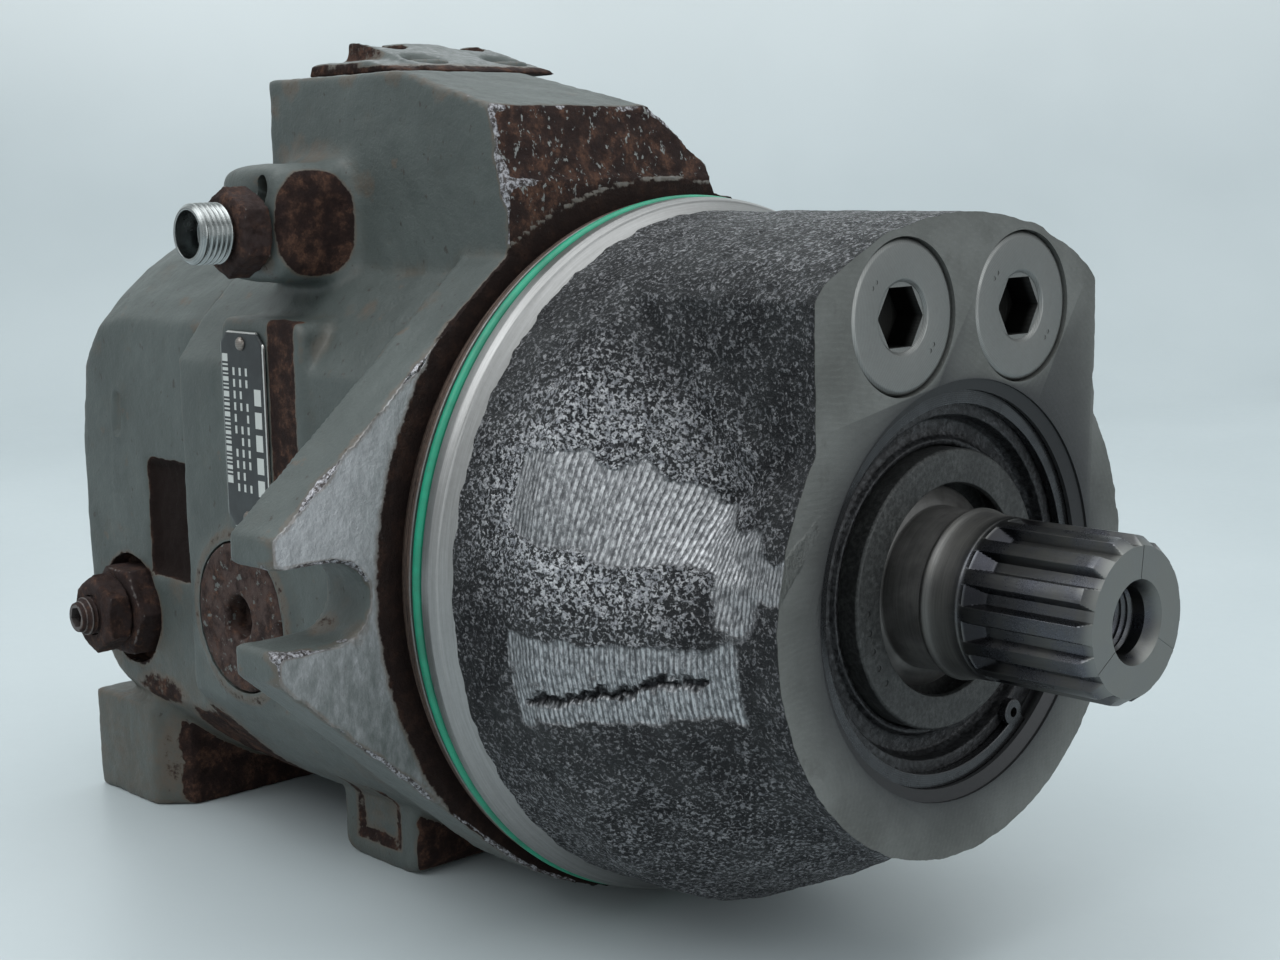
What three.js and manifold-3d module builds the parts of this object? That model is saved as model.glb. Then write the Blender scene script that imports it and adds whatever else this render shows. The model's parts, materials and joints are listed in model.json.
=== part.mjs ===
// Plug-in hydraulic motor: a variable axial-piston unit with a tilting swashplate.
//
// Millimetres. X runs along the shaft towards its splined end, +Z is up, and the name plate is on
// the -Y side. Every "x" below is measured along the shaft from the front face of the nose, and
// every "y" and "z" from the shaft's axis. The outermost group then moves the whole motor so that
// its origin is the middle of the surface that it stands on.

import * as THREE from 'three';
import { mergeVertices } from 'three/addons/utils/BufferGeometryUtils.js';
import Module from 'manifold-3d';

const wasm = await Module();
wasm.setup();

// ---------------------------------------------------------------- driving dimensions

const GAP = 0.3; // between pieces that touch, and round pieces that turn or slide

const GROUND_Z = -98;
const SHAFT_END_X = 48.9;
const REAR_X = -307;

// housing, outside
const FACE_R = 66; // lower round of the nose's front face
const LOBE_HALF_Y = 53; // half width of the lobe that holds the two plugs
const BODY_R = 91.5; // nose body, and the top of the lobe
const FLARE_END_X = -57; // where the nose has opened to its full radius
const PILOT_X = [-83.3, -99];
const PILOT_R = 95;
const UNDERCUT_R = 92;
const SEAL_X = -93.6; // O-ring on the pilot
const SEAL_R = 2.2;
const FLANGE_X = [-122, -103];
const FLANGE_R = 98;
const SLOT_Y = 112; // centre of a slot's round end: mounting bolts are 224 mm apart
const SLOT_R = 10;
const PRONG_Y = 129.3;
const PRONG_Z = 17.5;
const BARREL_R = 94;
const BARREL_HALF_Y = 80;
const PLATE_X = -228; // joint between housing and connection plate

// front end
const RECESS_R = 51.8;
const SEAL_BORE_R = 49;
const CIRCLIP_X = [-6.2, -3.8];
const PLUG_Y = 22.4;
const PLUG_Z = 67.9;
const PLUG_R = 18.6;
const PLUG_DEPTH = 12;
const SERVO_R = 14;

// shaft and bearings
const SPLINE_R = 19.6;
const SPLINE_ROOT_R = 17.4;
const SPLINE_TEETH = 14;
const COLLAR_R = 21;
const JOURNAL_R = 25;
const CORE_R = 15;
const HUB_SPLINE_R = 18;
const HUB_TEETH = 8;
const REAR_JOURNAL_R = 17;
const FRONT_BEARING_X = [-51, -29];
const FRONT_BEARING_R = 43;
const REAR_BEARING_X = [-252, -236];
const REAR_BEARING_R = 26;

// rotating group
const BALL_X = -119.5; // piston balls, and the swashplate's tilt axis through them
const BALL_R = 5;
const SWASH_FACE_X = -112;
const SWASH_THICK = 13;
const SWASH_R = 56;
const SWASH_HOLE_R = 31;
const EAR_Y = 28;
const EAR_Z = 70;
const CRADLE_R = 34;
const CRADLE_Y = [29, 51];
const PISTONS = 9;
const PISTON_PITCH_R = 36.5;
const PISTON_R = 10;
const SLIPPER_R = 12;
const SLIPPER_NECK_R = 7.4;
const BLOCK_X = [-214, -138];
const BLOCK_R = 50;
const BUSH_R = 23;
const VALVE_PLATE_X = [-220, -214.4];
const CHAMBER_R = 80; // round the swashplate
const CHAMBER_HALF_Y = 73; // between the barrel's flat sides
const BARREL_BORE_R = 66; // round the cylinder block

// ---------------------------------------------------------------- solids

// Merges a geometry's vertices and turns its faces outwards, ready for a boolean.
function closed(geometry) {
  const bare = geometry.index ? geometry.toNonIndexed() : geometry.clone();
  bare.deleteAttribute('normal');
  bare.deleteAttribute('uv');
  const merged = mergeVertices(bare, 1e-3);
  const p = merged.attributes.position;
  const corners = [0, 1, 2].map(() => new THREE.Vector3());
  const kept = [];
  let volume = 0;
  for (let i = 0; i < merged.index.count; i += 3) {
    const tri = [0, 1, 2].map((k) => merged.index.getX(i + k));
    if (tri[0] === tri[1] || tri[1] === tri[2] || tri[2] === tri[0]) continue;
    tri.forEach((v, k) => corners[k].fromBufferAttribute(p, v));
    volume += corners[0].dot(corners[1].cross(corners[2])) / 6;
    kept.push(tri);
  }
  const faces = volume < 0 ? kept.map(([a, b, c]) => [a, c, b]) : kept;
  const mesh = new wasm.Mesh({
    numProp: 3,
    vertProperties: new Float32Array(p.array),
    triVerts: new Uint32Array(faces.flat()),
  });
  return new wasm.Manifold(mesh);
}

function join(first, ...others) {
  return others.reduce((sum, next) => sum.add(next), first);
}

function cut(first, ...others) {
  return others.reduce((sum, next) => sum.subtract(next), first);
}

function toGeometry(manifold) {
  const mesh = manifold.getMesh();
  const geometry = new THREE.BufferGeometry();
  geometry.setAttribute('position', new THREE.BufferAttribute(mesh.vertProperties, 3));
  geometry.setIndex(new THREE.BufferAttribute(mesh.triVerts, 1));
  geometry.computeVertexNormals();
  return geometry;
}

// A turned piece about the X axis from [radius, x] points.
function turned(points, sides = 32) {
  const profile = points.map(([r, x]) => new THREE.Vector2(r, x));
  const lathe = new THREE.LatheGeometry(profile, sides);
  return closed(lathe.rotateZ(-Math.PI / 2));
}

// A turned ring, from the corners of its section.
function ring(rIn, rOut, x0, x1, sides = 32) {
  return turned([[rIn, x0], [rOut, x0], [rOut, x1], [rIn, x1], [rIn, x0]], sides);
}

// A plain cylinder along X, Y or Z between two places on that axis.
function rod(axis, radius, from, to, at = [0, 0], sides = 24, turn = 0) {
  const length = Math.abs(to - from);
  const cylinder = new THREE.CylinderGeometry(radius, radius, length, sides).rotateY(turn);
  const middle = (from + to) / 2;
  if (axis === 'x') cylinder.rotateZ(-Math.PI / 2).translate(middle, at[0], at[1]);
  if (axis === 'y') cylinder.translate(at[0], middle, at[1]);
  if (axis === 'z') cylinder.rotateX(Math.PI / 2).translate(at[0], at[1], middle);
  return closed(cylinder);
}

function cone(axis, r0, r1, from, to, at = [0, 0], sides = 24) {
  const cylinder = new THREE.CylinderGeometry(r1, r0, Math.abs(to - from), sides);
  if (to < from) cylinder.rotateX(Math.PI);
  const middle = (from + to) / 2;
  if (axis === 'x') cylinder.rotateZ(-Math.PI / 2).translate(middle, at[0], at[1]);
  if (axis === 'y') cylinder.translate(at[0], middle, at[1]);
  return closed(cylinder);
}

// A hexagon prism by its width across flats.
function hex(axis, flats, from, to, at = [0, 0], turn = 0) {
  return rod(axis, flats / Math.sqrt(3), from, to, at, 6, turn);
}

function box(x, y, z) {
  const size = [x, y, z].map(([a, b]) => Math.abs(b - a));
  const middle = [x, y, z].map(([a, b]) => (a + b) / 2);
  return closed(new THREE.BoxGeometry(...size).translate(...middle));
}

// A flat outline in (y, z), pushed along X.
function prismX(shape, x0, x1, curveSegments = 12) {
  const settings = { depth: x1 - x0, bevelEnabled: false, curveSegments };
  const prism = new THREE.ExtrudeGeometry(shape, settings);
  prism.rotateY(Math.PI / 2).rotateX(Math.PI / 2);
  return closed(prism.translate(x0, 0, 0));
}

// A flat outline in (x, z), pushed along Y.
function prismY(shape, y0, y1, curveSegments = 12) {
  const settings = { depth: y1 - y0, bevelEnabled: false, curveSegments };
  const prism = new THREE.ExtrudeGeometry(shape, settings);
  return closed(prism.rotateX(Math.PI / 2).translate(0, y1, 0));
}

function polygon(points) {
  return new THREE.Shape(points.map(([a, b]) => new THREE.Vector2(a, b)));
}

// A rectangle with rounded corners between two corner points.
function roundedRectangle(low, high, radius) {
  const [a0, b0] = low;
  const [a1, b1] = high;
  const shape = new THREE.Shape();
  shape.moveTo(a0 + radius, b0);
  shape.lineTo(a1 - radius, b0);
  shape.absarc(a1 - radius, b0 + radius, radius, -Math.PI / 2, 0, false);
  shape.lineTo(a1, b1 - radius);
  shape.absarc(a1 - radius, b1 - radius, radius, 0, Math.PI / 2, false);
  shape.lineTo(a0 + radius, b1);
  shape.absarc(a0 + radius, b1 - radius, radius, Math.PI / 2, Math.PI, false);
  shape.lineTo(a0, b0 + radius);
  shape.absarc(a0 + radius, b0 + radius, radius, Math.PI, Math.PI * 1.5, false);
  return shape;
}

// The outline of a toothed shaft: flat tips and roots joined by sloping flanks.
function splineOutline(teeth, tipR, rootR, grow = 0, turn = 0) {
  const points = [];
  const pitch = (Math.PI * 2) / teeth;
  const corners = [[rootR, -0.34], [tipR, -0.2], [tipR, 0.2], [rootR, 0.34]];
  for (let i = 0; i < teeth; i += 1) {
    corners.forEach(([r, share]) => {
      const a = turn + pitch * (i + share);
      const widen = (Math.sign(share) * grow) / r;
      points.push([(r + grow) * Math.cos(a + widen), (r + grow) * Math.sin(a + widen)]);
    });
  }
  return polygon(points);
}

const smooth = (a, b, v) => THREE.MathUtils.smoothstep(v, a, b);
const mix = THREE.MathUtils.lerp;

// Piecewise-linear value of [position, value] points that fall in position.
function along(points, x) {
  for (let i = 1; i < points.length; i += 1) {
    const [x0, v0] = points[i - 1];
    const [x1, v1] = points[i];
    if (x >= x1) return mix(v0, v1, (x0 - x) / (x0 - x1));
  }
  return points[points.length - 1][1];
}

// ---------------------------------------------------------------- scene graph

const motor = new THREE.Group();
motor.position.set(-(SHAFT_END_X + REAR_X) / 2, 0, -GROUND_Z);

const LOOKS = {
  bareIron: { color: 0x3b3c3d, roughness: 0.7, metalness: 0.7 },
  paint: { color: 0x5c6663, roughness: 0.55, metalness: 0.1 },
  steel: { color: 0x8d8f91, roughness: 0.3, metalness: 1 },
  darkSteel: { color: 0x4c4d50, roughness: 0.35, metalness: 0.9 },
  rust: { color: 0x4a2a20, roughness: 0.9, metalness: 0.2 },
  zinc: { color: 0xc5c9cc, roughness: 0.25, metalness: 1 },
  bronze: { color: 0x9a7a45, roughness: 0.4, metalness: 1 },
  green: { color: 0x1b9a62, roughness: 0.45, metalness: 0 },
  rubber: { color: 0x151515, roughness: 0.7, metalness: 0 },
  plate: { color: 0x17191b, roughness: 0.4, metalness: 0.4 },
};

function add(name, manifold, look) {
  const mesh = new THREE.Mesh(toGeometry(manifold), new THREE.MeshStandardMaterial(LOOKS[look]));
  mesh.name = name;
  motor.add(mesh);
  return mesh;
}

// ---------------------------------------------------------------- housing

// The nose's radius in every direction: a round face below, and a waist beside the lobe from
// which the casting opens steeply.
const LOW_FLARE = [[0, FACE_R], [-12, FACE_R], [-30, 77.5], [FLARE_END_X - 3, BODY_R], [-84, BODY_R]];
const WAIST_FLARE = [[0, FACE_R], [-10, 64], [-26, 59], [-41, 74], [FLARE_END_X, 91], [-84, BODY_R]];

function noseRadius(x, y, z) {
  const waist = smooth(-0.1, 0.5, z / Math.hypot(y, z));
  return mix(along(LOW_FLARE, x), along(WAIST_FLARE, x), waist);
}

function noseBody() {
  const stations = [0, -10, -18, -26, -34, -42, -50, FLARE_END_X, -84];
  const profile = [[0, 0], ...stations.map((x) => [1, x]), [0, -84]];
  const lathe = new THREE.LatheGeometry(profile.map(([r, x]) => new THREE.Vector2(r, x)), 44);
  lathe.rotateZ(-Math.PI / 2);
  const p = lathe.attributes.position;
  for (let i = 0; i < p.count; i += 1) {
    const [x, y, z] = [p.getX(i), p.getY(i), p.getZ(i)];
    if (Math.hypot(y, z) < 0.5) continue;
    const r = noseRadius(x, y, z);
    p.setXYZ(i, x, y * r, z * r);
  }
  return closed(lathe);
}

function lobe() {
  const shape = new THREE.Shape();
  const corner = 4;
  const side = Math.asin((LOBE_HALF_Y - corner) / BODY_R);
  shape.moveTo(-LOBE_HALF_Y, 0);
  shape.lineTo(LOBE_HALF_Y, 0);
  shape.lineTo(LOBE_HALF_Y, BODY_R * Math.cos(side) - corner);
  shape.absarc(0, 0, BODY_R, Math.PI / 2 - side, Math.PI / 2 + side, false);
  shape.lineTo(-LOBE_HALF_Y, BODY_R * Math.cos(side) - corner);
  return prismX(shape, FLARE_END_X - 4, 0, 8);
}

function pilot() {
  const groove = [SEAL_X + SEAL_R + 0.4, SEAL_X - SEAL_R - 0.4];
  return turned([
    [0, PILOT_X[0]],
    [PILOT_R - 1.5, PILOT_X[0]],
    [PILOT_R, PILOT_X[0] - 2],
    [PILOT_R, groove[0]],
    [UNDERCUT_R, groove[0]],
    [UNDERCUT_R, groove[1]],
    [PILOT_R, groove[1]],
    [PILOT_R, PILOT_X[1]],
    [UNDERCUT_R, PILOT_X[1]],
    [UNDERCUT_R, FLANGE_X[1] - 1],
    [0, FLANGE_X[1] - 1],
  ], 44);
}

// Round flange with two prongs, each with an open slot for a mounting bolt.
function flange() {
  const reach = Math.hypot(PRONG_Y, PRONG_Z);
  const tangent = Math.atan2(PRONG_Z, PRONG_Y) + Math.acos(FLANGE_R / reach);
  const shape = new THREE.Shape();
  shape.moveTo(PRONG_Y, -PRONG_Z);
  shape.lineTo(PRONG_Y, -SLOT_R);
  shape.lineTo(SLOT_Y, -SLOT_R);
  shape.absarc(SLOT_Y, 0, SLOT_R, -Math.PI / 2, Math.PI / 2, true);
  shape.lineTo(PRONG_Y, SLOT_R);
  shape.lineTo(PRONG_Y, PRONG_Z);
  shape.absarc(0, 0, FLANGE_R, tangent, Math.PI - tangent, false);
  shape.lineTo(-PRONG_Y, PRONG_Z);
  shape.lineTo(-PRONG_Y, SLOT_R);
  shape.lineTo(-SLOT_Y, SLOT_R);
  shape.absarc(-SLOT_Y, 0, SLOT_R, Math.PI / 2, -Math.PI / 2, true);
  shape.lineTo(-PRONG_Y, -SLOT_R);
  shape.lineTo(-PRONG_Y, -PRONG_Z);
  shape.absarc(0, 0, FLANGE_R, Math.PI + tangent, Math.PI * 2 - tangent, false);
  return prismX(shape, FLANGE_X[0], FLANGE_X[1], 8);
}

function barrel() {
  const round = rod('x', BARREL_R, PLATE_X, FLANGE_X[0] + 1, [0, 0], 44);
  const sides = box([PLATE_X - 1, FLANGE_X[0] + 2], [-BARREL_HALF_Y, BARREL_HALF_Y], [-100, 100]);
  return round.intersect(sides);
}

// Control block on top: sloping front, and a bevel along its right side.
const TOP_Y = [-55, 18.5];
const TOP_Z = 130;
const TOP_X = [-212, -100];
function topBlock() {
  const side = [
    [TOP_X[0], 60], [TOP_X[1], 60], [TOP_X[1], 86], [-109, 119.5], [-147, TOP_Z], [TOP_X[0], TOP_Z],
  ];
  const body = prismY(polygon(side), TOP_Y[0], TOP_Y[1]);
  const bevel = new THREE.BoxGeometry(140, 60, 60).rotateX(-0.73);
  bevel.translate(-150, TOP_Y[1] + 9.4, TOP_Z + 5.3);
  return cut(body, closed(bevel));
}

const PORT_BLOCK_X = [-202, -170];
const PORT_BLOCK_Y = -80;
const PORT_BLOCK_Z = [73, 106];
const FITTING_AT = [-183, 87.5];
const FITTING_BORE_R = 8.3;
function portBlock() {
  const [x, z] = [PORT_BLOCK_X, PORT_BLOCK_Z];
  return prismY(roundedRectangle([x[0], z[0]], [x[1], z[1]], 5), PORT_BLOCK_Y, TOP_Y[0] + 1, 4);
}

// Cast lug under the barrel, with a sunk panel on its left face.
const LUG_X = [-191, -154];
const LUG_Y = [-53, -8];
function lug() {
  const outline = roundedRectangle([LUG_X[0], GROUND_Z], [LUG_X[1], -60], 5);
  const panel = box([-183.5, -163], [LUG_Y[0] - 1, LUG_Y[0] + 1.2], [-91.5, -70]);
  return cut(prismY(outline, LUG_Y[0], LUG_Y[1], 3), panel);
}

// What is hollow: seal recess, bearing seat, two servo bores and the chamber of the rotating group.
const BEARING_STOP_X = FRONT_BEARING_X[0] - GAP;
function housingHollow() {
  const bore = turned([
    [0, 1],
    [RECESS_R, 1],
    [RECESS_R, -0.8],
    [SEAL_BORE_R, -2.4],
    [SEAL_BORE_R, CIRCLIP_X[1] + GAP],
    [SEAL_BORE_R + 2.6, CIRCLIP_X[1] + GAP],
    [SEAL_BORE_R + 2.6, CIRCLIP_X[0] - GAP],
    [SEAL_BORE_R, CIRCLIP_X[0] - GAP],
    [SEAL_BORE_R, -24],
    [FRONT_BEARING_R + GAP, -24],
    [FRONT_BEARING_R + GAP, BEARING_STOP_X],
    [38, BEARING_STOP_X],
    [38, -56],
    [54, -60],
    [CHAMBER_R - 6, -78],
    [CHAMBER_R, -84],
    [CHAMBER_R, BLOCK_X[1]],
    [BARREL_BORE_R, BLOCK_X[1] - 4],
    [BARREL_BORE_R, PLATE_X - 1],
    [0, PLATE_X - 1],
  ], 28).intersect(box([PLATE_X - 2, 2], [-CHAMBER_HALF_Y, CHAMBER_HALF_Y], [-100, 100]));
  const servo = [-1, 1].flatMap((side) => [
    rod('x', PLUG_R, -PLUG_DEPTH, 1, [side * PLUG_Y, PLUG_Z], 22),
    rod('x', SERVO_R + GAP, -90, -PLUG_DEPTH + 1, [side * PLUG_Y, PLUG_Z], 12),
  ]);
  return join(bore, ...servo);
}

// Two seats on the front wall, hollowed to carry the swashplate's cradle bearings.
const CRADLE_SHELL = 2.6;
const SEAT_X = -89;
const SEAT_Z = 21.5; // low enough to clear the swashplate at full tilt
function cradleSeats() {
  const seats = [-1, 1].map((side) => {
    const y = CRADLE_Y.map((v) => v * side).sort((a, b) => a - b);
    const seat = box([SEAT_X, -58], y, [-SEAT_Z, SEAT_Z]);
    const hollow = rod('y', CRADLE_R + CRADLE_SHELL + 2 * GAP, y[0] - 1, y[1] + 1, [BALL_X, 0], 32);
    return cut(seat, hollow);
  });
  return join(...seats);
}

const SIDE_PLUG_AT = [-197.5, -23];
const SIDE_PLUG_R = 22;
const PAD = { x: [-201, -160], z: [-2, 63.5], y: -81.5 };
const NAME_PLATE = { x: [-199, -177], z: [4, 60], y: [-82.7, -81.8] };
const RIVETS = [[-188, 56.6], [-188, 7.4]];
const PLATE_BOLTS = [[-55, 55], [55, 55], [-55, -55], [55, -55]];
const COVER_SCREWS = [[-192, -28], [-192, 1], [-171, -28], [-171, 1]];

function housing() {
  const nose = join(noseBody(), lobe(), pilot());
  const padOutline = roundedRectangle([PAD.x[0], PAD.z[0]], [PAD.x[1], PAD.z[1]], 4);
  const pad = prismY(padOutline, PAD.y, -70, 3);
  const boss = rod('y', SIDE_PLUG_R + 4, PAD.y, -70, SIDE_PLUG_AT, 22);
  const rear = join(flange(), barrel(), topBlock(), portBlock(), lug(), pad, boss);
  const body = join(cut(join(nose, rear), housingHollow()), cradleSeats());
  return cut(
    body,
    rod('y', SIDE_PLUG_R + GAP, -100, -71, SIDE_PLUG_AT, 22),
    rod('y', FITTING_BORE_R, -100, -62, FITTING_AT, 14),
    prismY(roundedRectangle([-182.5, 94.5], [-178, 103], 2.2), -81, -74, 4),
    ...RIVETS.map((at) => rod('y', 1.5, -90, -77, at, 8)),
    ...PLATE_BOLTS.map((at) => rod('x', 6.3, PLATE_X - 1, PLATE_X + 22, at, 8)),
    ...COVER_SCREWS.map((at) => rod('z', 4.3, 110, TOP_Z + 1, at, 8)),
  );
}
add('housing', housing(), 'paint');

// ---------------------------------------------------------------- connection plate

const PLATE_HALF_Y = 72;
const PLATE_R = 93.5;
const FOOT_X = [REAR_X, -261];
const FOOT_TOP_Z = -65;
const ADJUSTER_AT = [-278, -33.7];
const ADJUSTER_SEAT_Y = -66;
const WORK_PORT = { y: 34, z: -24, r: 9.5, depth: 40, boltY: 11.1, boltZ: 23.8 };
const BOLT_SEAT_X = -284;

function connectionPlate() {
  const round = turned([
    [0, -305],
    [74, -305],
    [85, -300],
    [91, -290],
    [PLATE_R, -275],
    [PLATE_R, PLATE_X - GAP],
    [0, PLATE_X - GAP],
  ], 40);
  const flat = box([REAR_X, PLATE_X], [-PLATE_HALF_Y, PLATE_HALF_Y], [-100, 100]);
  const corner = 9;
  const foot = polygon([
    [REAR_X, -PLATE_HALF_Y],
    [FOOT_X[1] - corner, -PLATE_HALF_Y],
    [FOOT_X[1], -PLATE_HALF_Y + corner],
    [FOOT_X[1], PLATE_HALF_Y - corner],
    [FOOT_X[1] - corner, PLATE_HALF_Y],
    [REAR_X, PLATE_HALF_Y],
  ]);
  const footBlock = new THREE.ExtrudeGeometry(foot, { depth: FOOT_TOP_Z - GROUND_Z, bevelEnabled: false });
  footBlock.translate(0, 0, GROUND_Z);
  const spigot = rod('x', 60, VALVE_PLATE_X[0] - GAP, PLATE_X - 1, [0, 0], 24);
  const body = join(round.intersect(flat), closed(footBlock), spigot);
  const ports = [-1, 1].flatMap((side) => {
    const y = side * WORK_PORT.y;
    const bolts = [[-1, -1], [-1, 1], [1, -1], [1, 1]].map(([a, b]) => {
      const at = [y + a * WORK_PORT.boltY, WORK_PORT.z + b * WORK_PORT.boltZ];
      return rod('x', 4, REAR_X, -289, at, 6);
    });
    return [rod('x', WORK_PORT.r, REAR_X, REAR_X + WORK_PORT.depth, [y, WORK_PORT.z], 14), ...bolts];
  });
  return cut(
    body,
    rod('x', REAR_BEARING_R + GAP, REAR_BEARING_X[0] - GAP, -210, [0, 0], 24),
    rod('x', 21, REAR_BEARING_X[0] - 8, -240, [0, 0], 16),
    rod('y', 17.8, -90, ADJUSTER_SEAT_Y, ADJUSTER_AT, 24),
    rod('y', 6.3, -90, -50, ADJUSTER_AT, 12),
    box([-263, -236], [-90, -PLATE_HALF_Y + 2], [-20, 16]),
    ...kidneys(VALVE_PLATE_X[0] - 12, -210),
    ...PLATE_BOLTS.map((at) => rod('x', 10, REAR_X, BOLT_SEAT_X, at, 12)),
    ...PLATE_BOLTS.map((at) => rod('x', 6.3, REAR_X, -220, at, 8)),
    ...ports,
  );
}

// Two kidney-shaped passages on the pistons' circle, in the valve plate and in what it rests on.
function kidneys(x0, x1) {
  const half = 5;
  const span = Math.PI * 0.36;
  return [0, Math.PI].map((middle) => {
    const [a, b] = [middle - span, middle + span];
    const shape = new THREE.Shape();
    const r = PISTON_PITCH_R;
    shape.absarc(0, 0, r + half, a, b, false);
    shape.absarc(r * Math.cos(b), r * Math.sin(b), half, b, b + Math.PI, false);
    shape.absarc(0, 0, r - half, b, a, true);
    shape.absarc(r * Math.cos(a), r * Math.sin(a), half, a + Math.PI, a + Math.PI * 2, false);
    return prismX(shape, x0, x1, 4);
  });
}
add('rear_plate', connectionPlate(), 'paint');

PLATE_BOLTS.forEach((at, i) => {
  const head = rod('x', 9, BOLT_SEAT_X - 10, BOLT_SEAT_X - GAP, at, 12);
  const shank = rod('x', 6, BOLT_SEAT_X - 1, PLATE_X + 20, at, 8);
  const socket = hex('x', 10, BOLT_SEAT_X - 13, BOLT_SEAT_X - 6, at);
  add(`plate_bolt_${i + 1}`, cut(join(head, shank), socket), 'darkSteel');
});

// ---------------------------------------------------------------- outside fittings

// Cover on the control block: a lower rim, and a raised top that slopes down to the front.
const COVER_SEAT_Z = TOP_Z + 1.5;
function topCover() {
  const foot = TOP_Z + GAP;
  const low = polygon([[-206, foot], [-206, 134.5], [-178, 134.5], [-163, 131.5], [-162, foot]]);
  const raised = polygon([[-200, foot], [-198, 140.5], [-192, 140.5], [-160, 132], [-157, foot]]);
  const holes = COVER_SCREWS.flatMap((at) => [
    rod('z', 4.3, 125, 150, at, 8),
    rod('z', 6.9, COVER_SEAT_Z, 150, at, 12),
  ]);
  return cut(join(prismY(low, -44, 13), prismY(raised, -36, 9)), ...holes);
}
add('top_cover', topCover(), 'paint');

COVER_SCREWS.forEach((at, i) => {
  const seat = COVER_SEAT_Z + GAP;
  const head = rod('z', 6.5, seat, seat + 2.5, at, 12);
  const shank = rod('z', 4, seat - 20, seat + 1, at, 8);
  const socket = rod('z', 2.9, seat + 1, seat + 4, at, 6);
  add(`cover_screw_${i + 1}`, cut(join(head, shank), socket), 'rust');
});

function namePlate() {
  const [x, z] = [NAME_PLATE.x, NAME_PLATE.z];
  const clip = 3.5;
  const outline = polygon([
    [x[0] + clip, z[0]], [x[1] - clip, z[0]], [x[1], z[0] + clip], [x[1], z[1] - clip],
    [x[1] - clip, z[1]], [x[0] + clip, z[1]], [x[0], z[1] - clip], [x[0], z[0] + clip],
  ]);
  const holes = RIVETS.map((at) => rod('y', 1.5, -90, -77, at, 8));
  return cut(prismY(outline, NAME_PLATE.y[0], NAME_PLATE.y[1]), ...holes);
}
add('name_plate', namePlate(), 'plate');

RIVETS.forEach((at, i) => {
  const face = NAME_PLATE.y[0] - GAP;
  const head = cone('y', 1.9, 1.1, face, face - 0.8, at, 10);
  add(`name_plate_rivet_${i + 1}`, join(head, rod('y', 1.2, face - 0.1, -78, at, 8)), 'steel');
});

function sidePlug() {
  const body = rod('y', SIDE_PLUG_R, PAD.y - 0.6, -71 - GAP, SIDE_PLUG_AT, 22);
  return cut(body, hex('y', 12, -84, -75, SIDE_PLUG_AT, Math.PI / 6));
}
add('side_plug', sidePlug(), 'rust');

// Adjusting screw: a stud through a hexagon sleeve, held by a lock nut.
const SCREW_R = 6;
const SLEEVE_Y = [-77.5, ADJUSTER_SEAT_Y - GAP];
const NUT_Y = [-86.5, SLEEVE_Y[0] - GAP];
const SCREW_END_Y = -90.5;
function bored(solid) {
  return cut(solid, rod('y', SCREW_R + GAP, -95, -50, ADJUSTER_AT, 14));
}
add('adjuster_sleeve', bored(hex('y', 27, SLEEVE_Y[0], SLEEVE_Y[1], ADJUSTER_AT)), 'rust');
add('lock_nut', bored(hex('y', 22, NUT_Y[0], NUT_Y[1], ADJUSTER_AT, Math.PI / 6)), 'rust');
function adjustingScrew() {
  const stud = rod('y', SCREW_R, SCREW_END_Y, -56, ADJUSTER_AT, 14);
  const tip = cone('y', SCREW_R, SCREW_R - 1.2, SCREW_END_Y, SCREW_END_Y - 1.2, ADJUSTER_AT, 14);
  return cut(join(stud, tip), hex('y', 6, -95, SCREW_END_Y + 5, ADJUSTER_AT));
}
add('adjusting_screw', adjustingScrew(), 'rust');

const FITTING_Y = [-90, PORT_BLOCK_Y - GAP];
function fittingBody() {
  const head = hex('y', 22, FITTING_Y[0], FITTING_Y[1], FITTING_AT);
  const shank = rod('y', FITTING_BORE_R - GAP, FITTING_Y[1] - 1, -64, FITTING_AT, 14);
  return cut(join(head, shank), rod('y', 5.8, -91, -63, FITTING_AT, 12));
}
add('fitting_body', fittingBody(), 'rust');
function fittingStub() {
  const tube = rod('y', 8.4, -100.6, FITTING_Y[0] - GAP, FITTING_AT, 20);
  const spigot = rod('y', 5.5, FITTING_Y[0] - 1, -84, FITTING_AT, 12);
  const mouth = rod('y', 6.4, -101, -93, FITTING_AT, 16);
  return cut(join(tube, spigot), mouth, rod('y', 4, -94, -83, FITTING_AT, 10));
}
add('fitting_stub', fittingStub(), 'zinc');

[-1, 1].forEach((side) => {
  const at = [side * PLUG_Y, PLUG_Z];
  const body = turned([
    [0, -PLUG_DEPTH + GAP], [PLUG_R - GAP, -PLUG_DEPTH + GAP], [PLUG_R - GAP, -1.4],
    [PLUG_R - 1.3, -0.4], [0, -0.4],
  ], 22).translate([0, at[0], at[1]]);
  const rim = rod('x', 8.15, -1.3, 1, at, 14);
  const socket = hex('x', 14, -9, 1, at);
  add(side < 0 ? 'servo_plug_left' : 'servo_plug_right', cut(body, rim, socket), 'darkSteel');
});

function sealRing() {
  const section = Array.from({ length: 7 }, (_, i) => {
    const a = (i / 6) * Math.PI * 2;
    return [UNDERCUT_R + GAP + SEAL_R + SEAL_R * Math.cos(a), SEAL_X + SEAL_R * Math.sin(a)];
  });
  return turned(section, 44);
}
add('pilot_seal_ring', sealRing(), 'green');

// ---------------------------------------------------------------- seal and circlip

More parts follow.
